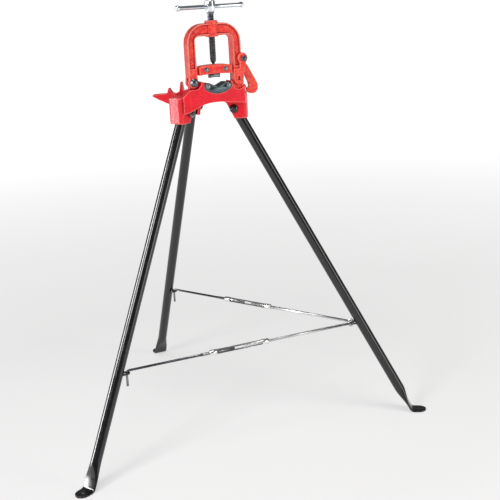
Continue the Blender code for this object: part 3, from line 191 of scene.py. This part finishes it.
# Camera: angles in radians, lens and sensor in millimetres, place in metres
camera_azimuth = math.radians(66.47)
camera_pitch = 0.260
camera_roll = 0.052
camera_lens = 69.96
camera_sensor_width = 36.0
camera_place = (-0.92645, -2.52283, 1.1482)


def collection_link(item):
    bpy.context.scene.collection.objects.link(item)
    return item


def new_object(name, mesh, surface):
    item = collection_link(bpy.data.objects.new(name, mesh))
    mesh.materials.clear()
    mesh.materials.append(surface)
    return item


def mesh_from(work, name):
    mesh = bpy.data.meshes.new(name)
    work.to_mesh(mesh)
    work.free()
    return mesh


def welded_mesh(node):
    """A copy of a node's mesh whose triangles share their corners again."""
    work = bmesh.new()
    work.from_mesh(nodes[node].data)
    bmesh.ops.remove_doubles(work, verts=work.verts, dist=weld_distance)
    bmesh.ops.recalc_face_normals(work, faces=work.faces)
    return mesh_from(work, node + "_copy")


def applied(item):
    """Turns an object's modifiers into its mesh."""
    depsgraph = bpy.context.evaluated_depsgraph_get()
    mesh = bpy.data.meshes.new_from_object(item.evaluated_get(depsgraph))
    item.modifiers.clear()
    item.data = mesh


def stand_in(item, node):
    """The item takes a node's place and rides on its body."""
    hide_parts(node)
    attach(item, body_of(nodes[node])[0])


def smooth(mesh, angle):
    """Smooth faces, with crisp edges where they meet at more than an angle."""
    mesh.shade_smooth()
    mesh.set_sharp_from_angle(angle=angle)


def smooth_copy(node, surface):
    """A node's own shape with smooth round faces and crisp edges."""
    mesh = welded_mesh(node)
    smooth(mesh, smooth_angle)
    stand_in(new_object(node + "_finish", mesh, surface), node)


def cast_copy(node, surface, voxel, passes, grain):
    """A node's shape as a casting: edges and inside corners softened, with a faint sand texture."""
    item = new_object(node + "_cast", welded_mesh(node), surface)
    remesh = item.modifiers.new("remesh", "REMESH")
    remesh.mode = "VOXEL"
    remesh.voxel_size = voxel
    soften = item.modifiers.new("soften", "SMOOTH")
    soften.factor = soften_factor
    soften.iterations = passes
    applied(item)
    mesh = item.data
    normals = [normal.vector.copy() for normal in mesh.vertex_normals]
    places = [vertex.co.copy() for vertex in mesh.vertices]
    moved = []
    for place, normal in zip(places, normals):
        rough = noise.fractal(place * grain_scale, grain_roughness, grain_lacunarity, grain_octaves)
        wave = noise.noise(place * wave_scale)
        moved.extend(place + normal * (grain * (rough * grain_share + wave - inward_share)))
    mesh.vertices.foreach_set("co", moved)
    mesh.update()
    mesh.shade_smooth()
    mesh.materials.clear()
    mesh.materials.append(surface)
    stand_in(item, node)


class Surface:
    """A Principled material with helpers that add procedural nodes."""

    def __init__(self, name, roughness, metallic=0.0, coat=0.0, coat_roughness=0.05, specular=0.5):
        self.material = bpy.data.materials.new(name)
        self.material.use_nodes = True
        self.tree = self.material.node_tree
        self.shader = self.tree.nodes["Principled BSDF"]
        self.shader.inputs["Roughness"].default_value = roughness
        self.shader.inputs["Metallic"].default_value = metallic
        self.shader.inputs["Coat Weight"].default_value = coat
        self.shader.inputs["Coat Roughness"].default_value = coat_roughness
        self.shader.inputs["Specular IOR Level"].default_value = specular
        self.place = self.tree.nodes.new("ShaderNodeTexCoord").outputs["Object"]

    def link(self, output, target):
        self.tree.links.new(output, target)

    def stretched(self, scale):
        """The object's coordinates multiplied by a vector."""
        mapping = self.tree.nodes.new("ShaderNodeMapping")
        mapping.inputs["Scale"].default_value = scale
        self.link(self.place, mapping.inputs["Vector"])
        return mapping.outputs["Vector"]

    def noise(self, scale, detail, rough=0.55, vector=None, distortion=0.0):
        item = self.tree.nodes.new("ShaderNodeTexNoise")
        item.inputs["Scale"].default_value = scale
        item.inputs["Detail"].default_value = detail
        item.inputs["Roughness"].default_value = rough
        item.inputs["Distortion"].default_value = distortion
        self.link(vector or self.place, item.inputs["Vector"])
        return item.outputs["Fac"]

    def ramp(self, factor, stops):
        """Colours by a factor, each stop a position and a colour."""
        item = self.tree.nodes.new("ShaderNodeValToRGB")
        while len(item.color_ramp.elements) < len(stops):
            item.color_ramp.elements.new(0.5)
        for element, (position, colour) in zip(item.color_ramp.elements, stops):
            element.position = position
            element.color = (*colour, 1.0)
        self.link(factor, item.inputs["Fac"])
        return item.outputs["Color"]

    def span(self, factor, low, high, out_low=0.0, out_high=1.0):
        """Maps a factor's range from low to high onto another range."""
        item = self.tree.nodes.new("ShaderNodeMapRange")
        item.inputs["From Min"].default_value = low
        item.inputs["From Max"].default_value = high
        item.inputs["To Min"].default_value = out_low
        item.inputs["To Max"].default_value = out_high
        self.link(factor, item.inputs["Value"])
        return item.outputs["Result"]

    def mix(self, factor, first, second):
        """Mixes two colours, each a socket or a plain colour."""
        item = self.tree.nodes.new("ShaderNodeMix")
        item.data_type = "RGBA"
        self.link(factor, item.inputs["Factor"])
        for value, target in ((first, item.inputs[6]), (second, item.inputs[7])):
            if isinstance(value, tuple):
                target.default_value = (*value, 1.0)
            else:
                self.link(value, target)
        return item.outputs[2]

    def pointiness(self, low, high):
        """From 0 to 1 between two values of pointiness, which is about 0.5 on flats and more on edges."""
        item = self.tree.nodes.new("ShaderNodeNewGeometry")
        return self.span(item.outputs["Pointiness"], low, high)

    def times(self, first, second):
        item = self.tree.nodes.new("ShaderNodeMath")
        item.operation = "MULTIPLY"
        item.use_clamp = True
        self.link(first, item.inputs[0])
        self.link(second, item.inputs[1])
        return item.outputs["Value"]

    def bump(self, height, distance, strength, onto=None):
        item = self.tree.nodes.new("ShaderNodeBump")
        item.inputs["Distance"].default_value = distance
        item.inputs["Strength"].default_value = strength
        self.link(height, item.inputs["Height"])
        if onto:
            self.link(onto, item.inputs["Normal"])
        return item.outputs["Normal"]

    def finish(self, colour=None, roughness=None, normal=None):
        for value, name in ((colour, "Base Color"), (roughness, "Roughness"), (normal, "Normal")):
            if value:
                self.link(value, self.shader.inputs[name])
        return self.material


def cast_paint(name, deep, warm, light, speckle):
    """Thick red enamel over sand-cast iron, with a painted edge highlight and painted corner shade."""
    painted_corner_shade = (0.26, 0.001, 0.008)
    painted_edge_highlight = (1.0, 0.46, 0.36)
    surface = Surface(name, roughness=0.3, coat=0.14, coat_roughness=0.12, specular=0.20)
    broad = surface.noise(scale=38.0, detail=3.0)
    grain = surface.noise(scale=620.0, detail=5.0, rough=0.6)
    blotch = surface.noise(scale=230.0, detail=4.0, rough=0.6)
    colour = surface.ramp(broad, [(0.30, deep), (0.55, warm), (0.78, deep)])
    colour = surface.mix(surface.span(grain, 0.50, 0.72, out_high=speckle * 0.5), colour, light)
    colour = surface.mix(surface.span(blotch, 0.46, 0.66, out_high=speckle), colour, light)
    # Painted shade: deep dark red laid into the corners and recesses, where pointiness is low.
    colour = surface.mix(surface.pointiness(0.494, 0.470), colour, painted_corner_shade)
    # Painted highlight: pale pink along the edges, stronger where the broad noise is high.
    edge = surface.times(surface.pointiness(0.506, 0.545), surface.span(broad, 0.2, 0.7, out_low=0.6))
    colour = surface.mix(surface.span(edge, 0.0, 1.0, out_high=0.75), colour, painted_edge_highlight)
    sheen = surface.noise(scale=210.0, detail=4.0)
    roughness = surface.span(sheen, 0.3, 0.7, out_low=0.22, out_high=0.42)
    waves = surface.bump(surface.noise(scale=150.0, detail=3.0), distance=0.0010, strength=0.35)
    normal = surface.bump(grain, distance=0.00035, strength=0.55, onto=waves)
    return surface.finish(colour, roughness, normal)


def black_enamel():
    """Glossy black paint with dust, long scuffs and rubbed edges."""
    deep = (0.002, 0.002, 0.003)
    plain = (0.004, 0.004, 0.006)
    dusty = (0.016, 0.015, 0.019)
    scuffed = (0.06, 0.062, 0.07)
    rubbed = (0.16, 0.16, 0.17)
    lengthwise = (1.0, 1.0, 0.22)
    surface = Surface("black_enamel", roughness=0.14, specular=0.7)
    dust = surface.noise(scale=55.0, detail=6.0, rough=0.65)
    colour = surface.ramp(dust, [(0.35, deep), (0.62, plain), (0.82, dusty)])
    scuffs = surface.noise(
        scale=26.0, detail=8.0, rough=0.7, vector=surface.stretched(lengthwise), distortion=0.6
    )
    colour = surface.mix(surface.span(scuffs, 0.68, 0.76, out_high=0.4), colour, scuffed)
    edge = surface.pointiness(0.54, 0.64)
    colour = surface.mix(surface.span(edge, 0.0, 1.0, out_high=0.35), colour, rubbed)
    roughness = surface.span(dust, 0.3, 0.75, out_low=0.10, out_high=0.30)
    peel = surface.bump(surface.noise(scale=330.0, detail=2.0), distance=0.00012, strength=0.35)
    return surface.finish(colour, roughness, peel)


def worn_metal(name, dark, mid, bright, roughness, grain_scale):
    """Plain or plated steel with clouding, fine grain and rubbed edges."""
    surface = Surface(name, roughness, metallic=1.0)
    cloud = surface.noise(scale=70.0, detail=5.0, rough=0.6)
    colour = surface.ramp(cloud, [(0.30, dark), (0.52, mid), (0.74, mid)])
    grain = surface.noise(scale=grain_scale, detail=6.0, rough=0.65)
    colour = surface.mix(surface.span(grain, 0.52, 0.70, out_high=0.35), colour, bright)
    edge = surface.pointiness(0.52, 0.60)
    colour = surface.mix(surface.span(edge, 0.0, 1.0, out_high=0.7), colour, bright)
    glossiest = max(roughness - 0.09, 0.02)
    dullest = roughness + 0.12
    rough = surface.span(grain, 0.3, 0.7, out_low=glossiest, out_high=dullest)
    normal = surface.bump(grain, distance=0.00012, strength=0.35)
    return surface.finish(colour, rough, normal)


red_base = cast_paint(
    "red_enamel", deep=(0.74, 0.002, 0.024), warm=(0.90, 0.004, 0.028), light=(1.0, 0.12, 0.05),
    speckle=0.20
)
# Paler, warmer and more speckled red for the yoke, crosshead and hook: partly the rough cast speckle,
# partly painted light, a lit copy of the base's red.
red_rough_painted_light = cast_paint(
    "red_enamel_rough_painted_light", deep=(0.74, 0.006, 0.022), warm=(0.92, 0.030, 0.030), light=(1.0, 0.34, 0.17),
    speckle=0.42
)
black_paint = black_enamel()
jaw_steel = worn_metal(
    "jaw_steel", dark=(0.024, 0.036, 0.044), mid=(0.056, 0.080, 0.090), bright=(0.22, 0.28, 0.30),
    roughness=0.34, grain_scale=420.0
)
bolt_steel = worn_metal(
    "bolt_steel", dark=(0.036, 0.050, 0.058), mid=(0.085, 0.110, 0.122), bright=(0.34, 0.39, 0.41),
    roughness=0.24, grain_scale=500.0
)
screw_steel = worn_metal(
    "screw_steel", dark=(0.018, 0.020, 0.026), mid=(0.05, 0.056, 0.066), bright=(0.34, 0.36, 0.40),
    roughness=0.26, grain_scale=380.0
)
chrome = worn_metal(
    "bright_chrome", dark=(0.42, 0.48, 0.54), mid=(0.60, 0.66, 0.72), bright=(0.90, 0.93, 0.95),
    roughness=0.10, grain_scale=260.0
)
zinc = worn_metal(
    "zinc_plate", dark=(0.52, 0.52, 0.50), mid=(0.72, 0.72, 0.70), bright=(0.95, 0.95, 0.93),
    roughness=0.24, grain_scale=300.0
)
zinc_rod = worn_metal(
    "dull_zinc_rod", dark=(0.20, 0.21, 0.22), mid=(0.40, 0.41, 0.42), bright=(0.75, 0.76, 0.77),
    roughness=0.32, grain_scale=340.0
)
hook_steel = worn_metal(
    "dark_rod", dark=(0.030, 0.032, 0.036), mid=(0.085, 0.09, 0.10), bright=(0.36, 0.38, 0.40),
    roughness=0.30, grain_scale=340.0
)


def centre(node):
    low, high = (Vector(corner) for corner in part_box(node))
    return (low + high) / 2


stand_middle = Vector((0.0, centre("rear_leg_bolt")[1] - hinge_reach, 0.0))


def hinge_matrix(name):
    """A leg hinge's place: X points outward, Y along the bolt, Z up."""
    azimuth = math.radians(leg_azimuths[name])
    offset = Vector((hinge_reach * math.cos(azimuth), hinge_reach * math.sin(azimuth), hinge_height))
    return Matrix.Translation(stand_middle + offset) @ Matrix.Rotation(azimuth, 4, "Z")


def section(place, direction, half_straight, radius, count):
    """A ring of points: a circle, or two half circles moved apart along the bolt's direction."""
    across = Vector((-direction[1], direction[0]))
    ring = []
    for i in range(count):
        angle = 2 * math.pi * (i + 0.5) / count
        side = math.copysign(half_straight, math.cos(angle)) + radius * facet_share * math.cos(angle)
        lift = radius * facet_share * math.sin(angle)
        ring.append((place[0] + across[0] * lift, side, place[1] + across[1] * lift))
    return ring


def leg_stations():
    """Centre, direction, half straight and radius of each section, from the top end to the toe."""
    foot_straight = (math.pi * leg_radius - math.pi * foot_flat_radius) / 2
    foot_half_width = foot_straight + foot_flat_radius
    leg_run = (hinge_height - foot_flat_radius) / math.cos(leg_splay)
    down = Vector((math.sin(leg_splay), -math.cos(leg_splay)))
    level = Vector((1.0, 0.0))
    turn = math.pi / 2 - leg_splay
    bend_start = leg_run - foot_bend_radius * math.tan(turn / 2)
    flare_end = bend_start - foot_flat_length
    flare_start = flare_end - foot_flare_length
    places = [-leg_above_hinge, -leg_above_hinge / 2]
    places += [flare_start * i / leg_shank_steps for i in range(leg_shank_steps + 1)]
    stations = [(down * place, down, 0.0, leg_radius) for place in places]
    for i in range(1, leg_flare_steps + 1):
        share = i / leg_flare_steps
        eased = share * share * (3 - 2 * share)
        radius = leg_radius + (foot_flat_radius - leg_radius) * eased
        straight = (math.pi * leg_radius - math.pi * radius) / 2
        stations.append((down * (flare_start + foot_flare_length * share), down, straight, radius))
    middle = down * bend_start + Vector((math.cos(leg_splay), math.sin(leg_splay))) * foot_bend_radius
    for i in range(leg_bend_steps + 1):
        angle = leg_splay + turn * i / leg_bend_steps
        heading = Vector((math.sin(angle), -math.cos(angle)))
        inward = Vector((math.cos(angle), math.sin(angle)))
        stations.append((middle - inward * foot_bend_radius, heading, foot_straight, foot_flat_radius))
    toe = down * leg_run + level * foot_hole_reach
    for i in range(leg_toe_steps):
        angle = toe_sweep * i / (leg_toe_steps - 1)
        half = foot_half_width * toe_share * math.cos(angle) - foot_flat_radius
        ahead = level * foot_half_width * toe_share * math.sin(angle)
        stations.append((toe + ahead, level, half, foot_flat_radius))
    return stations, leg_run


def cylinder_mesh(name, start, end, radius):
    """A plain round rod between two points."""
    run = Vector(end) - Vector(start)
    middle = (Vector(start) + Vector(end)) / 2
    work = bmesh.new()
    bmesh.ops.create_cone(
        work, cap_ends=True, segments=hole_sides, radius1=radius, radius2=radius, depth=run.length
    )
    turn = run.to_track_quat("Z", "Y").to_matrix().to_4x4()
    bmesh.ops.transform(work, matrix=Matrix.Translation(middle) @ turn, verts=work.verts)
    return mesh_from(work, name)


def cut_holes(item, holes):
    """Cuts round holes, each a start, an end and a radius, out of an item."""
    cutters = []
    for start, end, radius in holes:
        mesh = cylinder_mesh("hole_cutter", start, end, radius)
        cutter = collection_link(bpy.data.objects.new("hole_cutter", mesh))
        boolean = item.modifiers.new("hole", "BOOLEAN")
        boolean.operation = "DIFFERENCE"
        boolean.solver = "EXACT"
        boolean.object = cutter
        cutters.append(cutter)
    applied(item)
    for cutter in cutters:
        bpy.data.objects.remove(cutter)


def join_rings(work, rings, sides):
    """Faces between each ring of points and the next."""
    for first, second in zip(rings, rings[1:]):
        for i in range(sides):
            k = (i + 1) % sides
            work.faces.new((first[i], first[k], second[k], second[i]))


def build_leg(name):
    """A round black pipe with its bore, pressed foot and round toe."""
    stations, leg_run = leg_stations()
    work = bmesh.new()
    rings = [[work.verts.new(p) for p in section(*station, leg_sides)] for station in stations]
    down = stations[0][1]
    bore_end = leg_run - foot_bend_radius - foot_flat_length - foot_flare_length - overrun * 5
    inner = []
    for place in (-leg_above_hinge, bore_end):
        ring = section(down * place, down, 0.0, leg_radius - leg_wall, leg_sides)
        inner.append([work.verts.new(p) for p in ring])
    join_rings(work, [inner[1], inner[0]] + rings, leg_sides)
    work.faces.new(inner[1])
    work.faces.new(rings[-1])
    bmesh.ops.recalc_face_normals(work, faces=work.faces)
    matrix = hinge_matrix(name)
    bmesh.ops.transform(work, matrix=matrix, verts=work.verts)
    item = new_object(name + "_leg_pipe", mesh_from(work, name + "_leg_pipe"), black_paint)
    toe = leg_run * math.sin(leg_splay) + foot_hole_reach
    bolt_start = Vector((0.0, -leg_radius * 2, 0.0))
    bolt_end = Vector((0.0, leg_radius * 2, 0.0))
    hole_bottom = Vector((toe, 0.0, -hinge_height - overrun))
    hole_top = Vector((toe, 0.0, -hinge_height + overrun * 3))
    holes = [
        (matrix @ bolt_start, matrix @ bolt_end, hinge_bolt_radius + fit_gap),
        (matrix @ hole_bottom, matrix @ hole_top, foot_hole_radius),
    ]
    cut_holes(item, holes)
    smooth(item.data, smooth_angle)
    stand_in(item, name + "_leg")


def thread_mesh(name, radius, depth, pitch, length, sides):
    """A screw thread along +Z from 0: rounded ridges on a core, closed at both ends."""
    work = bmesh.new()
    rows = max(fewest_thread_turns, round(length / pitch)) * thread_rows_per_turn
    rings = []
    for row in range(rows + 1):
        z = length * row / rows
        fade = min(1.0, z / pitch, (length - z) / pitch)
        ring = []
        for i in range(sides):
            angle = 2 * math.pi * i / sides
            phase = (z / pitch - i / sides) % 1.0
            crest = 0.5 + 0.5 * math.cos(2 * math.pi * phase)
            crest = min(1.0, max(0.0, (crest - thread_flat_share) / (1.0 - 2 * thread_flat_share)))
            r = radius - depth * (1.0 - crest * max(fade, 0.0))
            ring.append(work.verts.new((r * math.cos(angle), r * math.sin(angle), z)))
        rings.append(ring)
    join_rings(work, rings, sides)
    work.faces.new(list(reversed(rings[0])))
    work.faces.new(rings[-1])
    mesh = mesh_from(work, name)
    smooth(mesh, thread_smooth_angle)
    return mesh


def build_spindle():
    """The screw with its rolled thread between a plain neck and a turned collar."""
    low, high = (Vector(corner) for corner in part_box("spindle"))
    middle = (low + high) / 2
    work = bmesh.new()
    profile = [
        (0.0, low[2]),
        (screw_neck_radius, low[2]),
        (screw_neck_radius, low[2] + screw_neck_end),
        (screw_core_radius, low[2] + screw_neck_end + screw_neck_radius),
        (screw_core_radius, high[2] - screw_collar_height),
        (screw_collar_radius - fit_gap, high[2] - screw_collar_height + fit_gap),
        (screw_collar_radius, high[2] - screw_collar_height + fit_gap * 3),
        (screw_collar_radius, high[2] - fit_gap * 2),
        (screw_collar_radius - fit_gap * 2, high[2]),
        (0.0, high[2]),
    ]
    points = [work.verts.new((middle[0] + r, middle[1], z)) for r, z in profile]
    edges = [work.edges.new(pair) for pair in zip(points, points[1:])]
    bmesh.ops.spin(
        work, geom=points + edges, angle=2 * math.pi, steps=spindle_steps,
        axis=(0.0, 0.0, 1.0), cent=(middle[0], middle[1], 0.0)
    )
    bmesh.ops.remove_doubles(work, verts=work.verts, dist=weld_distance / 4)
    bmesh.ops.recalc_face_normals(work, faces=work.faces)
    mesh = mesh_from(work, "spindle_body")
    smooth(mesh, smooth_angle)
    stand_in(new_object("spindle_body", mesh, screw_steel), "spindle")
    depth = screw_radius - screw_core_radius
    start = low[2] + screw_neck_end + screw_neck_radius + screw_radius - screw_core_radius
    length = high[2] - screw_collar_height - start
    mesh = thread_mesh("spindle_thread", screw_radius, depth, screw_pitch, length, spindle_thread_sides)
    mesh.transform(Matrix.Translation((middle[0], middle[1], start)))
    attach(new_object("spindle_thread", mesh, screw_steel), "screw")


def rod_thread(name, body, start, direction, surface):
    """A fine rolled thread round the end of a stay rod."""
    radius = rod_radius + thread_rise
    mesh = thread_mesh(name, radius, thread_depth, rod_pitch, thread_length, rod_thread_sides)
    turn = direction.to_track_quat("Z", "Y").to_matrix().to_4x4()
    mesh.transform(Matrix.Translation(start) @ turn)
    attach(new_object(name, mesh, surface), body)


def build_rod_threads():
    """Threads on both rods of each stay, running out of both ends of its turnbuckle."""
    inner = turnbuckle_length / 2 - turnbuckle_boss - thread_length * thread_share_in_window
    for side in ("front", "rear"):
        ring = centre(side + "_eye_rod")
        far = centre(side + "_hook_rod")
        level = Vector((far[0] - ring[0], far[1] - ring[1], 0.0)).normalized()
        middle = centre(side + "_turnbuckle")
        rod_thread(side + "_eye_thread", side + "_stay", middle - level * inner, -level, zinc_rod)
        rod_thread(side + "_hook_thread", side + "_hook", middle + level * inner, level, hook_steel)


def weld_bead(name, place, axis, body):
    """A rippled ring of weld round a wire where it meets its leg."""
    work = bmesh.new()
    rings = []
    turn = axis.to_track_quat("Z", "Y").to_matrix()
    for i in range(bead_steps):
        angle = 2 * math.pi * i / bead_steps
        fine = fine_ripple_share * math.cos(angle * fine_ripple_count)
        broad = broad_ripple_share * math.sin(angle * broad_ripple_count)
        ripple = weld_thickness * (1.0 + fine + broad)
        ring = []
        for k in range(bead_sides):
            swing = 2 * math.pi * k / bead_sides
            out = wire_radius + ripple * math.cos(swing)
            local = Vector((out * math.cos(angle), out * math.sin(angle), ripple * math.sin(swing)))
            ring.append(work.verts.new(place + turn @ local))
        rings.append(ring)
    for i in range(bead_steps):
        first, second = rings[i], rings[(i + 1) % bead_steps]
        for k in range(bead_sides):
            n = (k + 1) % bead_sides
            work.faces.new((first[k], second[k], second[n], first[n]))
    bmesh.ops.recalc_face_normals(work, faces=work.faces)
    mesh = mesh_from(work, name)
    mesh.shade_smooth()
    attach(new_object(name, mesh, black_paint), body)


def build_weld_beads():
    """Two beads for each wire eye, at the leg's skin on both sides of the loop."""
    for name, leg, azimuth, half_width in wire_eyes:
        heading = Vector((math.cos(math.radians(azimuth)), math.sin(math.radians(azimuth)), 0.0))
        sideways = Vector((-heading[1], heading[0], 0.0))
        height = centre(name)[2]
        outward = math.radians(leg_azimuths[leg])
        reach = hinge_reach + (hinge_height - height) * math.tan(leg_splay)
        axis_place = stand_middle + Vector((reach * math.cos(outward), reach * math.sin(outward), height))
        skin = math.sqrt(leg_radius ** 2 - half_width ** 2)
        for sign, ending in ((-1.0, "_weld_low"), (1.0, "_weld_high")):
            place = axis_place + sideways * sign * half_width + heading * skin
            weld_bead(name + ending, place, heading, leg + "_leg")


def build_floor():
    """A wide pale disc with a faint glow of its own, so that it runs into the background."""
    work = bmesh.new()
    bmesh.ops.create_circle(work, cap_ends=True, segments=floor_sides, radius=floor_radius)
    surface = Surface("pale_floor", roughness=0.8, specular=0.1)
    darker = (0.60, 0.60, 0.60)
    paler = (0.64, 0.64, 0.64)
    colour = surface.ramp(surface.noise(scale=0.6, detail=3.0), [(0.3, darker), (0.7, paler)])
    length = surface.tree.nodes.new("ShaderNodeVectorMath")
    length.operation = "LENGTH"
    surface.link(surface.place, length.inputs[0])
    distance = length.outputs["Value"]
    glow = surface.span(distance, floor_near_distance, floor_far_distance, floor_glow_near, floor_glow_far)
    surface.shader.inputs["Emission Color"].default_value = (*white, 1.0)
    surface.link(glow, surface.shader.inputs["Emission Strength"])
    item = new_object("floor", mesh_from(work, "floor"), surface.finish(colour))


def area_light(name, place, target, width, height, power, colour):
    """A rectangular light at a place, facing a target."""
    data = bpy.data.lights.new(name, "AREA")
    data.shape = "RECTANGLE"
    data.size = width
    data.size_y = height
    data.energy = power
    data.color = colour
    item = collection_link(bpy.data.objects.new(name, data))
    item.location = place
    item.rotation_euler = (Vector(target) - Vector(place)).to_track_quat("-Z", "Y").to_euler()
    return item


def build_lights():
    """Soft boxes at both sides and overhead, with a pale sky all round."""
    world = bpy.data.worlds.new("studio")
    bpy.context.scene.world = world
    world.use_nodes = True
    tree = world.node_tree
    background = tree.nodes["Background"]
    background.inputs["Color"].default_value = (*white, 1.0)
    sight = tree.nodes.new("ShaderNodeLightPath")
    strength = tree.nodes.new("ShaderNodeMapRange")
    strength.inputs["To Min"].default_value = sky_light
    strength.inputs["To Max"].default_value = sky_seen
    tree.links.new(sight.outputs["Is Camera Ray"], strength.inputs["Value"])
    tree.links.new(strength.outputs["Result"], background.inputs["Strength"])
    for name, place, target, width, height, power, colour, lights_matt in soft_boxes:
        light = area_light(name, place, target, width, height, power, colour)
        light.visible_diffuse = lights_matt


def build_camera():
    """A camera at the photograph's view, from its angles and place."""
    flat = math.cos(camera_pitch)
    forward = Vector((
        math.cos(camera_azimuth) * flat,
        math.sin(camera_azimuth) * flat,
        -math.sin(camera_pitch),
    ))
    level = Vector((math.sin(camera_azimuth), -math.cos(camera_azimuth), 0.0))
    down = forward.cross(level)
    right = level * math.cos(camera_roll) + down * math.sin(camera_roll)
    below = down * math.cos(camera_roll) - level * math.sin(camera_roll)
    data = bpy.data.cameras.new("photo_camera")
    data.sensor_fit = "HORIZONTAL"
    data.sensor_width = camera_sensor_width
    data.lens = camera_lens
    item = collection_link(bpy.data.objects.new("photo_camera", data))
    matrix = Matrix((right, -below, -forward)).transposed().to_4x4()
    matrix.translation = Vector(camera_place)
    item.matrix_world = matrix
    bpy.context.scene.camera = item


# Castings: node, paint, voxel size, softening passes and depth of the sand texture
castings = [
    ("base_casting", red_base, 0.0010, 5, 0.00012),
    ("yoke", red_rough_painted_light, 0.0009, 4, 0.00012),
    ("crosshead", red_rough_painted_light, 0.0008, 3, 0.00010),
    ("latch_hook", red_rough_painted_light, 0.0007, 3, 0.00010),
]

# Pieces that keep their solid's shape
finishes = {
    "lower_jaw": jaw_steel,
    "upper_jaw": jaw_steel,
    "lower_jaw_bolt_left": bolt_steel,
    "lower_jaw_bolt_right": bolt_steel,
    "crosshead_pin_left": bolt_steel,
    "crosshead_pin_right": bolt_steel,
    "yoke_pivot_bolt": bolt_steel,
    "yoke_pivot_nut": bolt_steel,
    "latch_bolt": screw_steel,
    "latch_nut": bolt_steel,
    "spindle_hub": chrome,
    "tommy_bar": chrome,
    "left_leg_eye": black_paint,
    "rear_leg_eye": black_paint,
    "right_leg_ring": black_paint,
    "front_eye_rod": zinc_rod,
    "rear_eye_rod": zinc_rod,
    "front_turnbuckle": zinc,
    "rear_turnbuckle": zinc,
    "front_hook_rod": hook_steel,
    "rear_hook_rod": hook_steel,
}
for side in leg_azimuths:
    finishes[side + "_leg_bolt"] = black_paint
    finishes[side + "_leg_nut"] = bolt_steel

for side in leg_azimuths:
    build_leg(side)
for casting in castings:
    cast_copy(*casting)
build_spindle()
build_rod_threads()
build_weld_beads()
for node, surface in finishes.items():
    smooth_copy(node, surface)
build_floor()
build_lights()
build_camera()
bpy.context.scene.view_settings.view_transform = "Standard"
